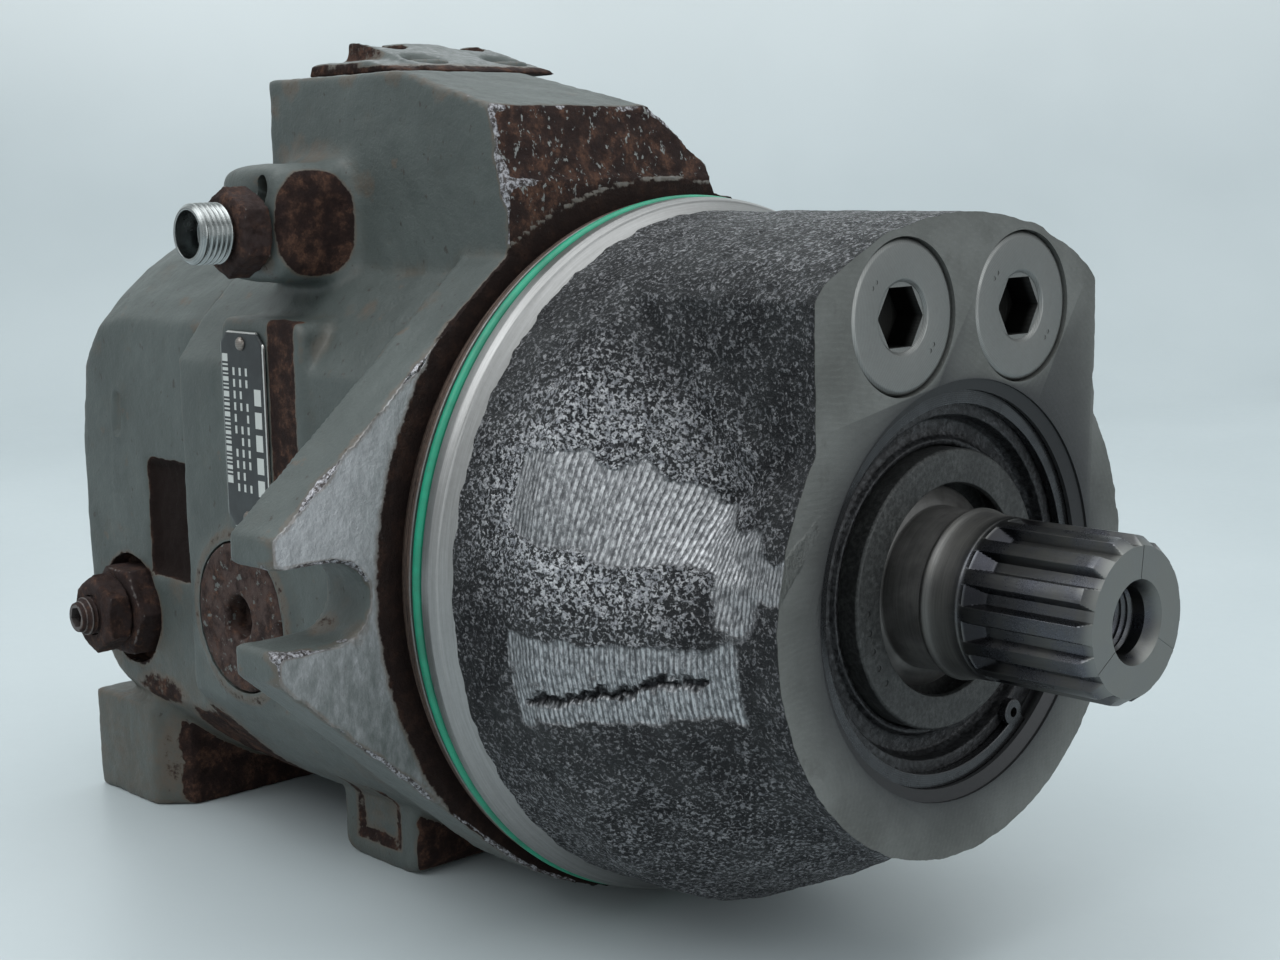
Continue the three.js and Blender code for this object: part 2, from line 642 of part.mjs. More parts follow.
function circlip() {
  const [x0, x1] = CIRCLIP_X;
  const body = ring(45.5, SEAL_BORE_R + 2.2, x0, x1, 28);
  const gapAngle = -0.75;
  const mouth = new THREE.BoxGeometry(10, 14, 16).translate(-5, 48, 0).rotateX(gapAngle);
  const lugs = [-1, 1].map((side) => {
    const a = gapAngle + side * 0.2;
    const at = [Math.cos(a) * 44.2, Math.sin(a) * 44.2];
    return cut(rod('x', 3.4, x0, x1, at, 10), rod('x', 1.3, x0 - 1, x1 + 1, at, 6));
  });
  const eyes = [-1, 1].map((side) => {
    const a = gapAngle + side * 0.2;
    return rod('x', 1.3, x0 - 1, x1 + 1, [Math.cos(a) * 44.2, Math.sin(a) * 44.2], 6);
  });
  return cut(join(cut(body, closed(mouth)), ...lugs), ...eyes);
}
add('circlip', circlip(), 'darkSteel');

const CARRIER_X = CIRCLIP_X[0] - GAP;
const SEAL_OUT_R = 34.7;
add('seal_carrier', turned([
  [42, CARRIER_X], [SEAL_BORE_R - GAP, CARRIER_X], [SEAL_BORE_R - GAP, -22], [28, -22],
  [28, -18], [SEAL_OUT_R + GAP, -18], [SEAL_OUT_R + GAP, -10.5], [42, -10.5], [42, CARRIER_X],
], 28), 'bareIron');
add('shaft_seal', turned([
  [26, -4], [SEAL_OUT_R, -4], [SEAL_OUT_R, -17.6], [JOURNAL_R + GAP, -17.6],
  [JOURNAL_R + GAP, -15.4], [31, -14], [31, -6], [26, -6], [26, -4],
], 24), 'darkSteel');

// ---------------------------------------------------------------- shaft

function shaft() {
  const core = turned([
    [0, 14], [COLLAR_R - 0.8, 14], [COLLAR_R, 13], [COLLAR_R, 4], [COLLAR_R - 0.8, 3.2], [20, 3.2],
    [20, -9], [JOURNAL_R, -11], [JOURNAL_R, -60], [20, -62], [20, -110], [CORE_R, -112],
    [CORE_R, -236], [REAR_JOURNAL_R, -236], [REAR_JOURNAL_R, -255], [0, -255],
  ], 28);
  const teeth = prismX(splineOutline(SPLINE_TEETH, SPLINE_R, SPLINE_ROOT_R), 13, SHAFT_END_X);
  const tip = turned([
    [0, 10], [30, 10], [30, SHAFT_END_X - 8], [SPLINE_R, SHAFT_END_X - 2.6],
    [SPLINE_ROOT_R - 0.2, SHAFT_END_X], [0, SHAFT_END_X],
  ], 28);
  const hub = prismX(splineOutline(HUB_TEETH, HUB_SPLINE_R, 16), -205, -170);
  const centre = join(
    rod('x', 8.1, SHAFT_END_X - 32, SHAFT_END_X + 1, [0, 0], 14),
    cone('x', 7.6, 9.4, SHAFT_END_X - 1.8, SHAFT_END_X + 0.02, [0, 0], 14),
  );
  return cut(join(core, teeth.intersect(tip), hub), centre);
}
add('shaft', shaft(), 'steel');

// ---------------------------------------------------------------- bearings

// Tapered rollers lean outwards to the rear; the races follow their lines with a running gap.
const LEAN = THREE.MathUtils.degToRad(8);
const ROLLER = { x: -40, pitchR: 34.5, length: 15, frontR: 3.3, rearR: 3.9, count: 12 };

function rollerLine(x) {
  const share = (ROLLER.x + ROLLER.length / 2 - x) / ROLLER.length;
  return {
    pitchR: ROLLER.pitchR + (ROLLER.x - x) * Math.tan(LEAN),
    r: mix(ROLLER.frontR, ROLLER.rearR, share) / Math.cos(LEAN) + GAP,
  };
}

function raceEdge(side) {
  return FRONT_BEARING_X.map((x) => {
    const { pitchR, r } = rollerLine(x);
    return [pitchR + side * r, x];
  });
}

function frontRollers() {
  const { x, pitchR, length, frontR, rearR, count } = ROLLER;
  const [a, b] = [x + length / 2 - 2, x - length / 2 + 2].map((at) => rollerLine(at));
  const ends = [[x + length / 2 - 2, a.pitchR], [x - length / 2 + 2, b.pitchR]];
  const cage = turned([
    [ends[0][1] - 1, ends[0][0]], [ends[0][1] + 1, ends[0][0]],
    [ends[1][1] + 1, ends[1][0]], [ends[1][1] - 1, ends[1][0]], [ends[0][1] - 1, ends[0][0]],
  ], 24);
  const rollers = Array.from({ length: count }, (_, i) => {
    const roller = new THREE.CylinderGeometry(frontR, rearR, length, 6);
    roller.rotateZ(-Math.PI / 2).rotateY(LEAN).translate(x, 0, pitchR);
    return closed(roller.rotateX((i / count) * Math.PI * 2));
  });
  return join(cage, ...rollers);
}

const [innerRear, innerFront] = raceEdge(-1);
const [outerRear, outerFront] = raceEdge(1);
const raceBore = JOURNAL_R + GAP;
add('front_bearing_inner', turned([
  [raceBore, innerFront[1]], innerFront, innerRear, [raceBore, innerRear[1]], [raceBore, innerFront[1]],
]), 'steel');
add('front_bearing_rollers', frontRollers(), 'steel');
add('front_bearing_outer', turned([
  outerFront, [FRONT_BEARING_R, outerFront[1]], [FRONT_BEARING_R, outerRear[1]], outerRear, outerFront,
]), 'steel');

const REAR_ROLLER_R = 2.3;
const REAR_PITCH_R = REAR_JOURNAL_R + GAP + REAR_ROLLER_R;
const REAR_RACE_R = REAR_PITCH_R + REAR_ROLLER_R + GAP;
add('rear_bearing_outer', ring(REAR_RACE_R, REAR_BEARING_R, ...REAR_BEARING_X), 'steel');
function rearRollers() {
  const [x0, x1] = [REAR_BEARING_X[0] + 1, REAR_BEARING_X[1] - 1];
  const cage = ring(REAR_PITCH_R - 0.8, REAR_PITCH_R + 0.8, x0 + 2, x1 - 2, 24);
  const rollers = Array.from({ length: 12 }, (_, i) => {
    const a = (i / 12) * Math.PI * 2;
    return rod('x', REAR_ROLLER_R, x0, x1, [Math.cos(a) * REAR_PITCH_R, Math.sin(a) * REAR_PITCH_R], 6);
  });
  return join(cage, ...rollers);
}
add('rear_bearing_rollers', rearRollers(), 'steel');

// ---------------------------------------------------------------- swashplate and servo

function swashplate() {
  const front = SWASH_FACE_X + SWASH_THICK;
  const disc = rod('x', SWASH_R, SWASH_FACE_X, front, [0, 0], 32);
  const ear = box([SWASH_FACE_X, front], [-EAR_Y, EAR_Y], [40, EAR_Z]);
  const rockers = [-1, 1].map((side) => {
    const y = CRADLE_Y.map((v) => (v + (v === CRADLE_Y[0] ? 1 : -1)) * side).sort((a, b) => a - b);
    return rod('y', CRADLE_R, y[0], y[1], [BALL_X, 0], 32).intersect(box([SWASH_FACE_X, -70], y, [-40, 40]));
  });
  return cut(join(disc, ear, ...rockers), rod('x', SWASH_HOLE_R, -130, -60, [0, 0], 24));
}
add('swashplate', swashplate(), 'steel');

[-1, 1].forEach((side) => {
  const y = CRADLE_Y.map((v) => v * side).sort((a, b) => a - b);
  const inner = CRADLE_R + GAP;
  const shell = cut(
    rod('y', inner + CRADLE_SHELL, y[0] + 1, y[1] - 1, [BALL_X, 0], 32),
    rod('y', inner, y[0], y[1], [BALL_X, 0], 32),
  ).intersect(box([SEAT_X, -70], y, [-SEAT_Z, SEAT_Z]));
  add(side < 0 ? 'cradle_bearing_left' : 'cradle_bearing_right', shell, 'bronze');
});

[-1, 1].forEach((side) => {
  const at = [side * PLUG_Y, PLUG_Z];
  const tipR = 7;
  const tipX = SWASH_FACE_X + SWASH_THICK + GAP + tipR;
  const tip = closed(new THREE.SphereGeometry(tipR, 10, 6).translate(tipX, ...at));
  const body = rod('x', SERVO_R, -66, -16, at, 12);
  const groove = cut(rod('x', SERVO_R + 1, -24, -22, at, 12), rod('x', SERVO_R - 1.2, -25, -21, at, 12));
  const piston = cut(join(body, rod('x', tipR, tipX, -60, at, 10), tip), groove);
  add(side < 0 ? 'servo_piston_left' : 'servo_piston_right', piston, 'steel');
});

// ---------------------------------------------------------------- rotating group

const pistonAngles = Array.from({ length: PISTONS }, (_, i) => Math.PI / 2 + (i / PISTONS) * Math.PI * 2);
const pistonPlaces = pistonAngles.map((a) => [Math.cos(a) * PISTON_PITCH_R, Math.sin(a) * PISTON_PITCH_R]);

function cylinderBlock() {
  const body = rod('x', BLOCK_R, BLOCK_X[0], BLOCK_X[1], [0, 0], 36);
  const bores = pistonPlaces.flatMap((at) => [
    rod('x', PISTON_R + GAP, -206.5, BLOCK_X[1] + 1, at, 12),
    rod('x', 4.6, BLOCK_X[0] - 1, -205.5, at, 6),
  ]);
  const spring = rod('x', 21, -166, BLOCK_X[1] + 1, [0, 0], 24);
  const teeth = prismX(splineOutline(HUB_TEETH, HUB_SPLINE_R, 16, GAP), BLOCK_X[0] - 1, -150);
  return cut(body, spring, teeth, ...bores);
}
add('cylinder_block', cylinderBlock(), 'bareIron');

function blockSpring() {
  const [x0, x1, r, wire, turns] = [-163.5, -137, 17.9, 1.7, 4];
  const points = Array.from({ length: turns * 10 + 1 }, (_, i) => {
    const a = (i / 10) * Math.PI * 2;
    return new THREE.Vector3(mix(x0, x1, i / (turns * 10)), r * Math.cos(a), r * Math.sin(a));
  });
  const circle = new THREE.Shape();
  circle.absarc(0, 0, wire, 0, Math.PI * 2, false);
  const settings = { steps: turns * 10, curveSegments: 3, extrudePath: new THREE.CatmullRomCurve3(points) };
  return closed(new THREE.ExtrudeGeometry(circle, settings));
}
add('block_spring', blockSpring(), 'steel');

function sphericalBush() {
  const arc = Array.from({ length: 6 }, (_, i) => {
    const x = mix(-114.3, -134, i / 5);
    return [Math.sqrt(BUSH_R ** 2 - (x - BALL_X) ** 2), x];
  });
  const bore = CORE_R + GAP;
  return turned([[bore, -114.3], ...arc, [bore, -134], [bore, -114.3]], 24);
}
add('spherical_bush', sphericalBush(), 'bronze');

function retainingPlate() {
  const disc = ring(BUSH_R + 0.5, BLOCK_R, -118.6, -116.4, 27);
  return cut(disc, ...pistonPlaces.map((at) => rod('x', 9.8, -120, -115, at, 10)));
}
add('retaining_plate', retainingPlate(), 'steel');

function valvePlate() {
  const disc = ring(20, BLOCK_R - 2, ...VALVE_PLATE_X, 28);
  return cut(disc, ...kidneys(VALVE_PLATE_X[0] - 1, VALVE_PLATE_X[1] + 1));
}
add('valve_plate', valvePlate(), 'bronze');

function piston() {
  const profile = [[0, -190], [PISTON_R, -190], [PISTON_R, -129], [PISTON_R - 1, -128], [3, -126]];
  const ball = Array.from({ length: 4 }, (_, i) => {
    const a = mix(Math.PI - Math.asin(3 / BALL_R), 0, i / 3);
    return [Math.max(BALL_R * Math.sin(a), 0), BALL_X + BALL_R * Math.cos(a)];
  });
  return turned([...profile, ...ball], 12);
}

function slipper() {
  const [front, back] = [SWASH_FACE_X - GAP, BALL_X - 2];
  const pocketR = BALL_R + 2 * GAP;
  const pocketX = BALL_X + BALL_R + GAP;
  return turned([
    [0, front], [SLIPPER_R, front], [SLIPPER_R, -116], [SLIPPER_NECK_R, -116], [SLIPPER_NECK_R, back],
    [pocketR, back], [pocketR, pocketX], [0, pocketX],
  ], 12);
}

const onePiston = piston();
const oneSlipper = slipper();
pistonPlaces.forEach(([y, z], i) => {
  add(`piston_${i + 1}`, onePiston.translate([0, y, z]), 'steel');
  add(`slipper_${i + 1}`, oneSlipper.translate([0, y, z]), 'bronze');
});

motor.updateMatrixWorld(true);

export default motor;
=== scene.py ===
import json
import math

import bmesh
import bpy
import numpy as np
from mathutils import Matrix, Vector, noise


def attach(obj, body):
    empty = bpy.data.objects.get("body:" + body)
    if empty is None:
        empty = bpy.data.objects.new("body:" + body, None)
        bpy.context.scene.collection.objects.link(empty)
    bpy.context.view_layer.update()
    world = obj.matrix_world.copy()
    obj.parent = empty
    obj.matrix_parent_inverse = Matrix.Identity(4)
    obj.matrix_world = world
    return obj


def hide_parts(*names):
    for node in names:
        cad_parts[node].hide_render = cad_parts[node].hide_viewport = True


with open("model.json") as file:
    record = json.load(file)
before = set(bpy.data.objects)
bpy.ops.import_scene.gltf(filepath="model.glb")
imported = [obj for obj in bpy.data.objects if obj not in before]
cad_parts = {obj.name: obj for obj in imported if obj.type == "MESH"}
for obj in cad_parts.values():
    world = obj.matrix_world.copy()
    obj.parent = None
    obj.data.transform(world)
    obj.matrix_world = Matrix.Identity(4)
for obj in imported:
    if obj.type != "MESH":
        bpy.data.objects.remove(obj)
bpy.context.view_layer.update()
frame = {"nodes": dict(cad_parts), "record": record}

# Shapes are drawn in millimetres about the shaft: x from the nose's front face, y and z from the
# shaft's axis. SHIFT takes them to the row frame.
SHIFT = np.array([129.05, 0.0, 98.0])
TAU = math.tau
FLANGE_X, REAR_X = -103.0, -306.95  # the mounting flange's face and the rear face
WIDE = 140  # past the motor on every side


# ---------------------------------------------------------------- mesh tools

def add_object(name, mesh):
    obj = bpy.data.objects.new(name, mesh)
    bpy.context.scene.collection.objects.link(obj)
    return obj


def solid(name, verts, faces):
    mesh = bpy.data.meshes.new(name)
    mesh.from_pydata([tuple(v) for v in (np.asarray(verts, float) + SHIFT) / 1000], [], faces)
    bm = bmesh.new()
    bm.from_mesh(mesh)
    bmesh.ops.recalc_face_normals(bm, faces=bm.faces)
    bm.to_mesh(mesh)
    bm.free()
    return add_object(name, mesh)


def points(obj):
    mesh = obj.data
    co = np.empty(len(mesh.vertices) * 3)
    mesh.vertices.foreach_get("co", co)
    return co.reshape(-1, 3) * 1000 - SHIFT


def set_points(obj, co):
    mesh = obj.data
    mesh.vertices.foreach_set("co", ((co + SHIFT) / 1000).ravel())
    mesh.update()


def normals(obj):
    mesh = obj.data
    n = np.empty(len(mesh.vertices) * 3)
    mesh.vertex_normals.foreach_get("vector", n)
    return n.reshape(-1, 3)


def axis_point(axis, at, along, a, b):
    if axis == "x":
        return (along, at[0] + a, at[1] + b)
    if axis == "y":
        return (at[0] + a, along, at[1] + b)
    return (at[0] + a, at[1] + b, along)


def eased(profile, radius=0.4, ring=False):
    """The profile with each corner rounded."""
    pts = [np.array(p, float) for p in profile]
    out = []
    for i, p in enumerate(pts):
        if p[0] < 1e-6 or (not ring and i in (0, len(pts) - 1)):
            out.append(p)
            continue
        a, b = pts[i - 1] - p, pts[(i + 1) % len(pts)] - p
        la, lb = np.linalg.norm(a), np.linalg.norm(b)
        reach = min(radius, 0.45 * la, 0.45 * lb)
        start, end = p + a / la * reach, p + b / lb * reach
        for t in (0, 0.33, 0.67, 1):
            out.append((1 - t) ** 2 * start + 2 * t * (1 - t) * p + t * t * end)
    return out


def spun(name, profile, axis="x", at=(0, 0), sides=96, ring=False):
    """A turned solid from (radius, along) points, which start and end on the axis unless it is a ring."""
    verts, rows = [], []
    for r, along in profile:
        count = 1 if r < 1e-6 else sides
        rows.append([len(verts) + i for i in range(count)])
        for i in range(count):
            t = TAU * i / sides
            verts.append(axis_point(axis, at, along, r * math.cos(t), r * math.sin(t)))
    faces = []
    for a, b in zip(rows, rows[1:] + ([rows[0]] if ring else [])):
        for i in range(sides):
            j = (i + 1) % sides
            if len(a) == 1:
                faces.append((a[0], b[i], b[j]))
            elif len(b) == 1:
                faces.append((a[j], a[i], b[0]))
            else:
                faces.append((a[i], b[i], b[j], a[j]))
    return solid(name, verts, faces)


def tube_faces(sides, levels):
    """The faces of a closed tube with this many points in each of its levels."""
    faces = [tuple(range(sides)), tuple(range((levels - 1) * sides, levels * sides))]
    for k in range(levels - 1):
        for i in range(sides):
            j = (i + 1) % sides
            faces.append((k * sides + i, k * sides + j, (k + 1) * sides + j, (k + 1) * sides + i))
    return faces


def prism(name, outline, axis, levels, at=(0, 0)):
    """An outline pushed along an axis through (along, scale) levels."""
    verts = [axis_point(axis, at, along, a * scale, b * scale) for along, scale in levels for a, b in outline]
    return solid(name, verts, tube_faces(len(outline), len(levels)))


def hexagon(flats, turn=0.0):
    r = flats / math.sqrt(3)
    return [(r * math.cos(turn + TAU * i / 6), r * math.sin(turn + TAU * i / 6)) for i in range(6)]


def block(name, low, high):
    outline = [(low[1], low[2]), (high[1], low[2]), (high[1], high[2]), (low[1], high[2])]
    return prism(name, outline, "x", [(low[0], 1), (high[0], 1)])


def slab(name, low, high):
    """Everything between two planes across the shaft's axis."""
    return block(name, (low, -WIDE, -WIDE), (high, WIDE, WIDE))


def drum(name, radius, start, end, axis="x", at=(0, 0), sides=96):
    return spun(name, [(0, start), (radius, start), (radius, end), (0, end)], axis, at, sides)


def apply_modifiers(obj):
    graph = bpy.context.evaluated_depsgraph_get()
    mesh = bpy.data.meshes.new_from_object(obj.evaluated_get(graph))
    old = obj.data
    obj.modifiers.clear()
    obj.data = mesh
    bpy.data.meshes.remove(old)
    mesh.name = obj.name
    return obj


def boolean(obj, operation, *others):
    for other in others:
        m = obj.modifiers.new("boolean", "BOOLEAN")
        m.operation = operation
        m.solver = "MANIFOLD"
        m.object = other
    apply_modifiers(obj)
    for other in others:
        mesh = other.data
        bpy.data.objects.remove(other)
        bpy.data.meshes.remove(mesh)
    return obj


def remesh(obj, voxel):
    m = obj.modifiers.new("remesh", "REMESH")
    m.mode = "VOXEL"
    m.voxel_size = voxel / 1000
    return apply_modifiers(obj)


def edges_of(obj):
    mesh = obj.data
    e = np.empty(len(mesh.edges) * 2, np.int64)
    mesh.edges.foreach_get("vertices", e)
    return e.reshape(-1, 2)


def neighbour_mean(values, edges, count):
    a, b = edges[:, 0], edges[:, 1]
    total = np.maximum(np.bincount(a, minlength=count) + np.bincount(b, minlength=count), 1)
    columns = [
        np.bincount(a, v[b], count) + np.bincount(b, v[a], count)
        for v in np.atleast_2d(values.T)
    ]
    return np.array(columns).T.reshape(values.shape) / (total[:, None] if values.ndim > 1 else total)


KEEP_SIZE, ROUND_CORNERS = (0.6, -0.62), (0.5,)


def relax(obj, passes, weight=None, steps=KEEP_SIZE):
    """Smooths. weight gives each vertex its share of every pass."""
    co = points(obj)
    edges = edges_of(obj)
    w = np.ones(len(co)) if weight is None else weight(co)
    for _ in range(passes):
        for factor in steps:
            co = co + factor * w[:, None] * (neighbour_mean(co, edges, len(co)) - co)
    set_points(obj, co)
    return obj


def smoothstep(low, high, v):
    t = np.clip((v - low) / (high - low), 0, 1)
    return t * t * (3 - 2 * t)


def box_mask(co, low, high, soft=2.0):
    """1 inside a box, and down to 0 within soft millimetres outside it."""
    outside = np.maximum(np.maximum(np.array(low) - co, co - np.array(high)), 0)
    return 1 - smoothstep(0, soft, np.linalg.norm(outside, axis=1))


def in_slab(co, low, high, soft):
    """box_mask between two planes across the shaft's axis."""
    return box_mask(co, (low, -WIDE, -WIDE), (high, WIDE, WIDE), soft)


def blob(co, centre, radii):
    d = np.linalg.norm((co - np.array(centre)) / np.array(radii), axis=1)
    return 1 - smoothstep(0.35, 1.0, d)


def noise_at(co, size, octaves=3, seed=0):
    shift = Vector((seed * 17.3, seed * 5.1, seed * 9.7))
    return np.array([noise.fractal(Vector(p) / size + shift, 1.0, 2.0, octaves) for p in co])


def push(obj, amount):
    set_points(obj, points(obj) + normals(obj) * amount[:, None])
    return obj


def store(obj, **masks):
    """Stores a value for each vertex under each name, for the materials to read."""
    for name, values in masks.items():
        layer = obj.data.attributes.new(name, "FLOAT", "POINT")
        layer.data.foreach_set("value", np.asarray(values).astype(np.float32))


def radius_of(co):
    """Distance from the shaft's axis."""
    return np.hypot(co[:, 1], co[:, 2])


def convexity(obj, spread=2):
    """About +1 on sharp outer edges and -1 in sharp inner corners."""
    co, edges = points(obj), edges_of(obj)
    lean = co - neighbour_mean(co, edges, len(co))
    out = np.einsum("ij,ij->i", lean, normals(obj))
    for _ in range(spread):
        out = 0.4 * out + 0.6 * neighbour_mean(out, edges, len(co))
    return np.clip(out / 0.11, -1, 1)


def shade(obj, angle=35):
    mesh = obj.data
    mesh.polygons.foreach_set("use_smooth", [True] * len(mesh.polygons))
    mesh.set_sharp_from_angle(angle=math.radians(angle))
    return obj


def piece(obj, body, look, nodes=(), angle=35):
    """Finishes a visible piece: shading, surface, body, and hides the CAD nodes that it stands for."""
    shade(obj, angle)
    obj.data.materials.clear()
    obj.data.materials.append(look)
    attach(obj, body)
    if nodes:
        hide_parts(*nodes)
    return obj


def copy_node(node, name):
    """A closed copy of a CAD piece: its faces arrive with vertices of their own, so they are merged."""
    mesh = frame["nodes"][node].data.copy()
    bm = bmesh.new()
    bm.from_mesh(mesh)
    bmesh.ops.remove_doubles(bm, verts=bm.verts, dist=2e-6)
    bm.to_mesh(mesh)
    bm.free()
    return add_object(name, mesh)


# ---------------------------------------------------------------- surfaces

class Field:
    """A value that varies over a surface: a node's output. Arithmetic on it adds math nodes."""

    def __init__(self, look, socket):
        self.look, self.socket = look, socket

    def math(self, operation, a, b):
        return self.look.add("ShaderNodeMath", 0, {0: a, 1: b}, operation=operation)

    def __add__(self, other):
        return self.math("ADD", self, other)

    def __mul__(self, other):
        return self.math("MULTIPLY", self, other)

    def __rsub__(self, other):
        return self.math("SUBTRACT", other, self)

    def at_least(self, other):
        return self.math("MAXIMUM", self, other)

    def at_most(self, other):
        return self.math("MINIMUM", self, other)

    def step(self, low, high):
        """0 at low and 1 at high, with a smooth rise between them."""
        inputs = {"Value": self, "From Min": low, "From Max": high}
        return self.look.add("ShaderNodeMapRange", "Result", inputs, interpolation_type="SMOOTHSTEP")

    def span(self, low, high):
        """A 0 to 1 value moved to low to high."""
        return self.look.add("ShaderNodeMapRange", "Result", {"Value": self, "To Min": low, "To Max": high})


class Look:
    """A node material whose textures are laid out in millimetres about the shaft."""

    def __init__(self, name):
        self.material = bpy.data.materials.new(name)
        self.material.use_nodes = True
        self.tree = self.material.node_tree
        self.shader = self.tree.nodes["Principled BSDF"]
        place = self.add("ShaderNodeTexCoord", "Object", {})
        scaled = self.vector("MULTIPLY", place, (1000, 1000, 1000))
        self.place = self.vector("SUBTRACT", scaled, tuple(SHIFT))

    def add(self, kind, output, inputs, **settings):
        node = self.tree.nodes.new(kind)
        for key, value in settings.items():
            setattr(node, key, value)
        for key, value in inputs.items():
            self.feed(node.inputs[key], value)
        return Field(self, node.outputs[output])

    def feed(self, socket, value):
        if isinstance(value, Field):
            self.tree.links.new(value.socket, socket)
        elif socket.type == "RGBA":
            socket.default_value = (*value, 1.0)
        else:
            socket.default_value = value

    def vector(self, operation, a, b):
        output = "Value" if operation == "LENGTH" else "Vector"
        return self.add("ShaderNodeVectorMath", output, {0: a, 1: b}, operation=operation)

    def axis(self, name):
        """Distance along X, Y or Z."""
        return self.add("ShaderNodeSeparateXYZ", name, {0: self.place})

    def stretch(self, x, y, z):
        return self.vector("MULTIPLY", self.place, (x, y, z))

    def noise(self, size, detail=4.0, rough=0.6, distortion=0.0, at=None):
        inputs = {"Vector": at or self.place, "Scale": 1 / size, "Detail": detail}
        inputs |= {"Roughness": rough, "Distortion": distortion}
        return self.add("ShaderNodeTexNoise", "Fac", inputs)

    def waves(self, size, distortion, at, axis="X", rings=False, detail=2.0):
        """Bands across an axis, or rings about it."""
        inputs = {"Vector": at, "Scale": TAU / size / 20, "Distortion": distortion, "Detail": detail}
        kind = {"wave_type": "RINGS", "rings_direction": axis} if rings else {"bands_direction": axis}
        return self.add("ShaderNodeTexWave", "Fac", inputs, **kind)

    def mix(self, share, a, b):
        """Two colours mixed."""
        return self.add("ShaderNodeMix", 2, {0: share, 6: a, 7: b}, data_type="RGBA")

    def blend(self, share, a, b):
        """Two values mixed."""
        return self.add("ShaderNodeMix", 0, {0: share, 2: a, 3: b}, data_type="FLOAT")

    def attribute(self, name):
        return self.add("ShaderNodeAttribute", "Fac", {}, attribute_name=name)

    def bump(self, height, depth):
        """depth is in millimetres for a height of 1."""
        return self.add("ShaderNodeBump", "Normal", {"Distance": depth / 1000, "Height": height})

    def done(self, colour, rough, metal, normal, gloss=0.5):
        sockets = {"Base Color": colour, "Roughness": rough, "Metallic": metal, "Normal": normal}
        for key, value in (sockets | {"Specular IOR Level": gloss}).items():
            self.feed(self.shader.inputs[key], value)
        return self.material


def dimmed(colour, share):
    return tuple(c * share for c in colour)


def rust_colour(look, deep=None):
    """Brown rust with lighter grains, and nearly black where the mask says: a dark stain on the flange's face
    round the pilot, and painted shade in the plate's window recess.
    """
    patches = look.noise(5.5, 6, 0.68).step(0.38, 0.66)
    grain = look.noise(1.3, 5, 0.7).step(0.35, 0.72)
    base = look.mix(patches, (0.021, 0.013, 0.012), (0.05, 0.028, 0.022))
    colour = look.mix(grain * patches.step(0.3, 1.0), base, (0.115, 0.06, 0.04))
    return look.mix(deep, colour, (0.012, 0.007, 0.006)) if deep else colour


def painted_casting():
    """Grey-green paint with dirt and painted shade, rust, chips and worn metal, placed by the attributes of
    the mesh. The chips along the flange's edges also paint a highlight line, and the bright metal on the
    cover's top also paints light from above.
    """
    look = Look("painted_casting")
    rust, edge = look.attribute("rust"), look.attribute("edge")
    bare, soot = look.attribute("bare"), look.attribute("soot")
    cloud, fine = look.noise(38, 5, 0.6), look.noise(2.2, 6, 0.7)
    paint = look.mix(cloud.step(0.3, 0.72), (0.049, 0.060, 0.057), (0.073, 0.087, 0.083))
    # brown grime, heaviest in inner corners and, on the housing and plate, towards the bottom: part dirt, part
    # painted shade
    grime_and_shade = (look.noise(14, 6, 0.72) * 0.9 + soot * 0.55).step(0.5, 0.95)
    paint = look.mix(grime_and_shade * 0.7, paint, (0.066, 0.058, 0.044))
    dots = look.noise(2.1, 3, 0.55, at=look.stretch(1, 1, 0.6)).step(0.67, 0.71)
    paint = look.mix(dots * 0.8, paint, (0.028, 0.022, 0.019))
    # metal worn bright on the flange's face, in streaks across it; on the cover's upward faces this bright
    # metal is also painted light from above
    streaks = look.noise(2.2, 5, 0.7, at=look.stretch(1, 0.9, 0.4))
    bare_share = (bare + streaks * 0.5 + cloud * 0.4).step(0.75, 1.35)
    worn_metal = look.mix(streaks.step(0.3, 0.75), (0.27, 0.28, 0.29), (0.37, 0.38, 0.395))
    colour = look.mix(bare_share, paint, worn_metal)
    # rust with ragged borders, in its patches, in spots and along edges
    ragged = look.noise(6, 6, 0.72) * 0.62 + fine * 0.34
    spots = look.noise(9, 4, 0.6).step(0.58, 0.72) * 0.47
    rust = rust.at_least(spots).at_least((edge * 0.95).at_most(0.44))
    rust_share = (rust + ragged).step(0.98, 1.08)
    halo = (rust + ragged).step(0.72, 1.02) * 0.55
    colour = look.mix(halo, colour, (0.10, 0.068, 0.045))
    fleck_noise = look.noise(1.7, 4, 0.62, at=look.stretch(1, 1, 0.7))
    flecks = look.attribute("flecks") * fleck_noise.step(0.6, 0.64)
    rusty = look.mix(flecks, rust_colour(look, look.attribute("deep")), (0.22, 0.23, 0.225))
    colour = look.mix(rust_share, colour, rusty)
    # chips along outer edges, to dark metal and to bright; along the flange's edges, where the edge share is
    # raised, the bright chips also paint a highlight line
    chips_and_rim_highlight = (edge + look.noise(5.5, 6, 0.66) * 0.75).step(1.0, 1.1)
    chip_colour = look.mix(look.noise(1.1, 4, 0.7).step(0.42, 0.6), (0.055, 0.048, 0.047), (0.36, 0.36, 0.385))
    colour = look.mix(chips_and_rim_highlight, colour, chip_colour)
    rough = look.blend(rust_share, fine.span(0.42, 0.62), fine.span(0.72, 0.95))
    rough = look.blend(bare_share, rough, streaks.span(0.3, 0.5))
    metal = (bare_share * 0.35 + chips_and_rim_highlight * 0.5) * (1.0 - rust_share)
    skin = look.noise(4.2, 4, 0.6) * 0.55 + look.noise(0.9, 4, 0.65) * 0.25
    pits = rust_share * (look.noise(1.5, 6, 0.75) * 1.3 + -0.8)
    height = skin + pits + chips_and_rim_highlight * -0.35 + flecks * 0.2
    gloss = look.blend(rust_share, 0.5, 0.12)
    return look.done(colour, rough, metal.at_most(0.85), look.bump(height, 0.6), gloss)


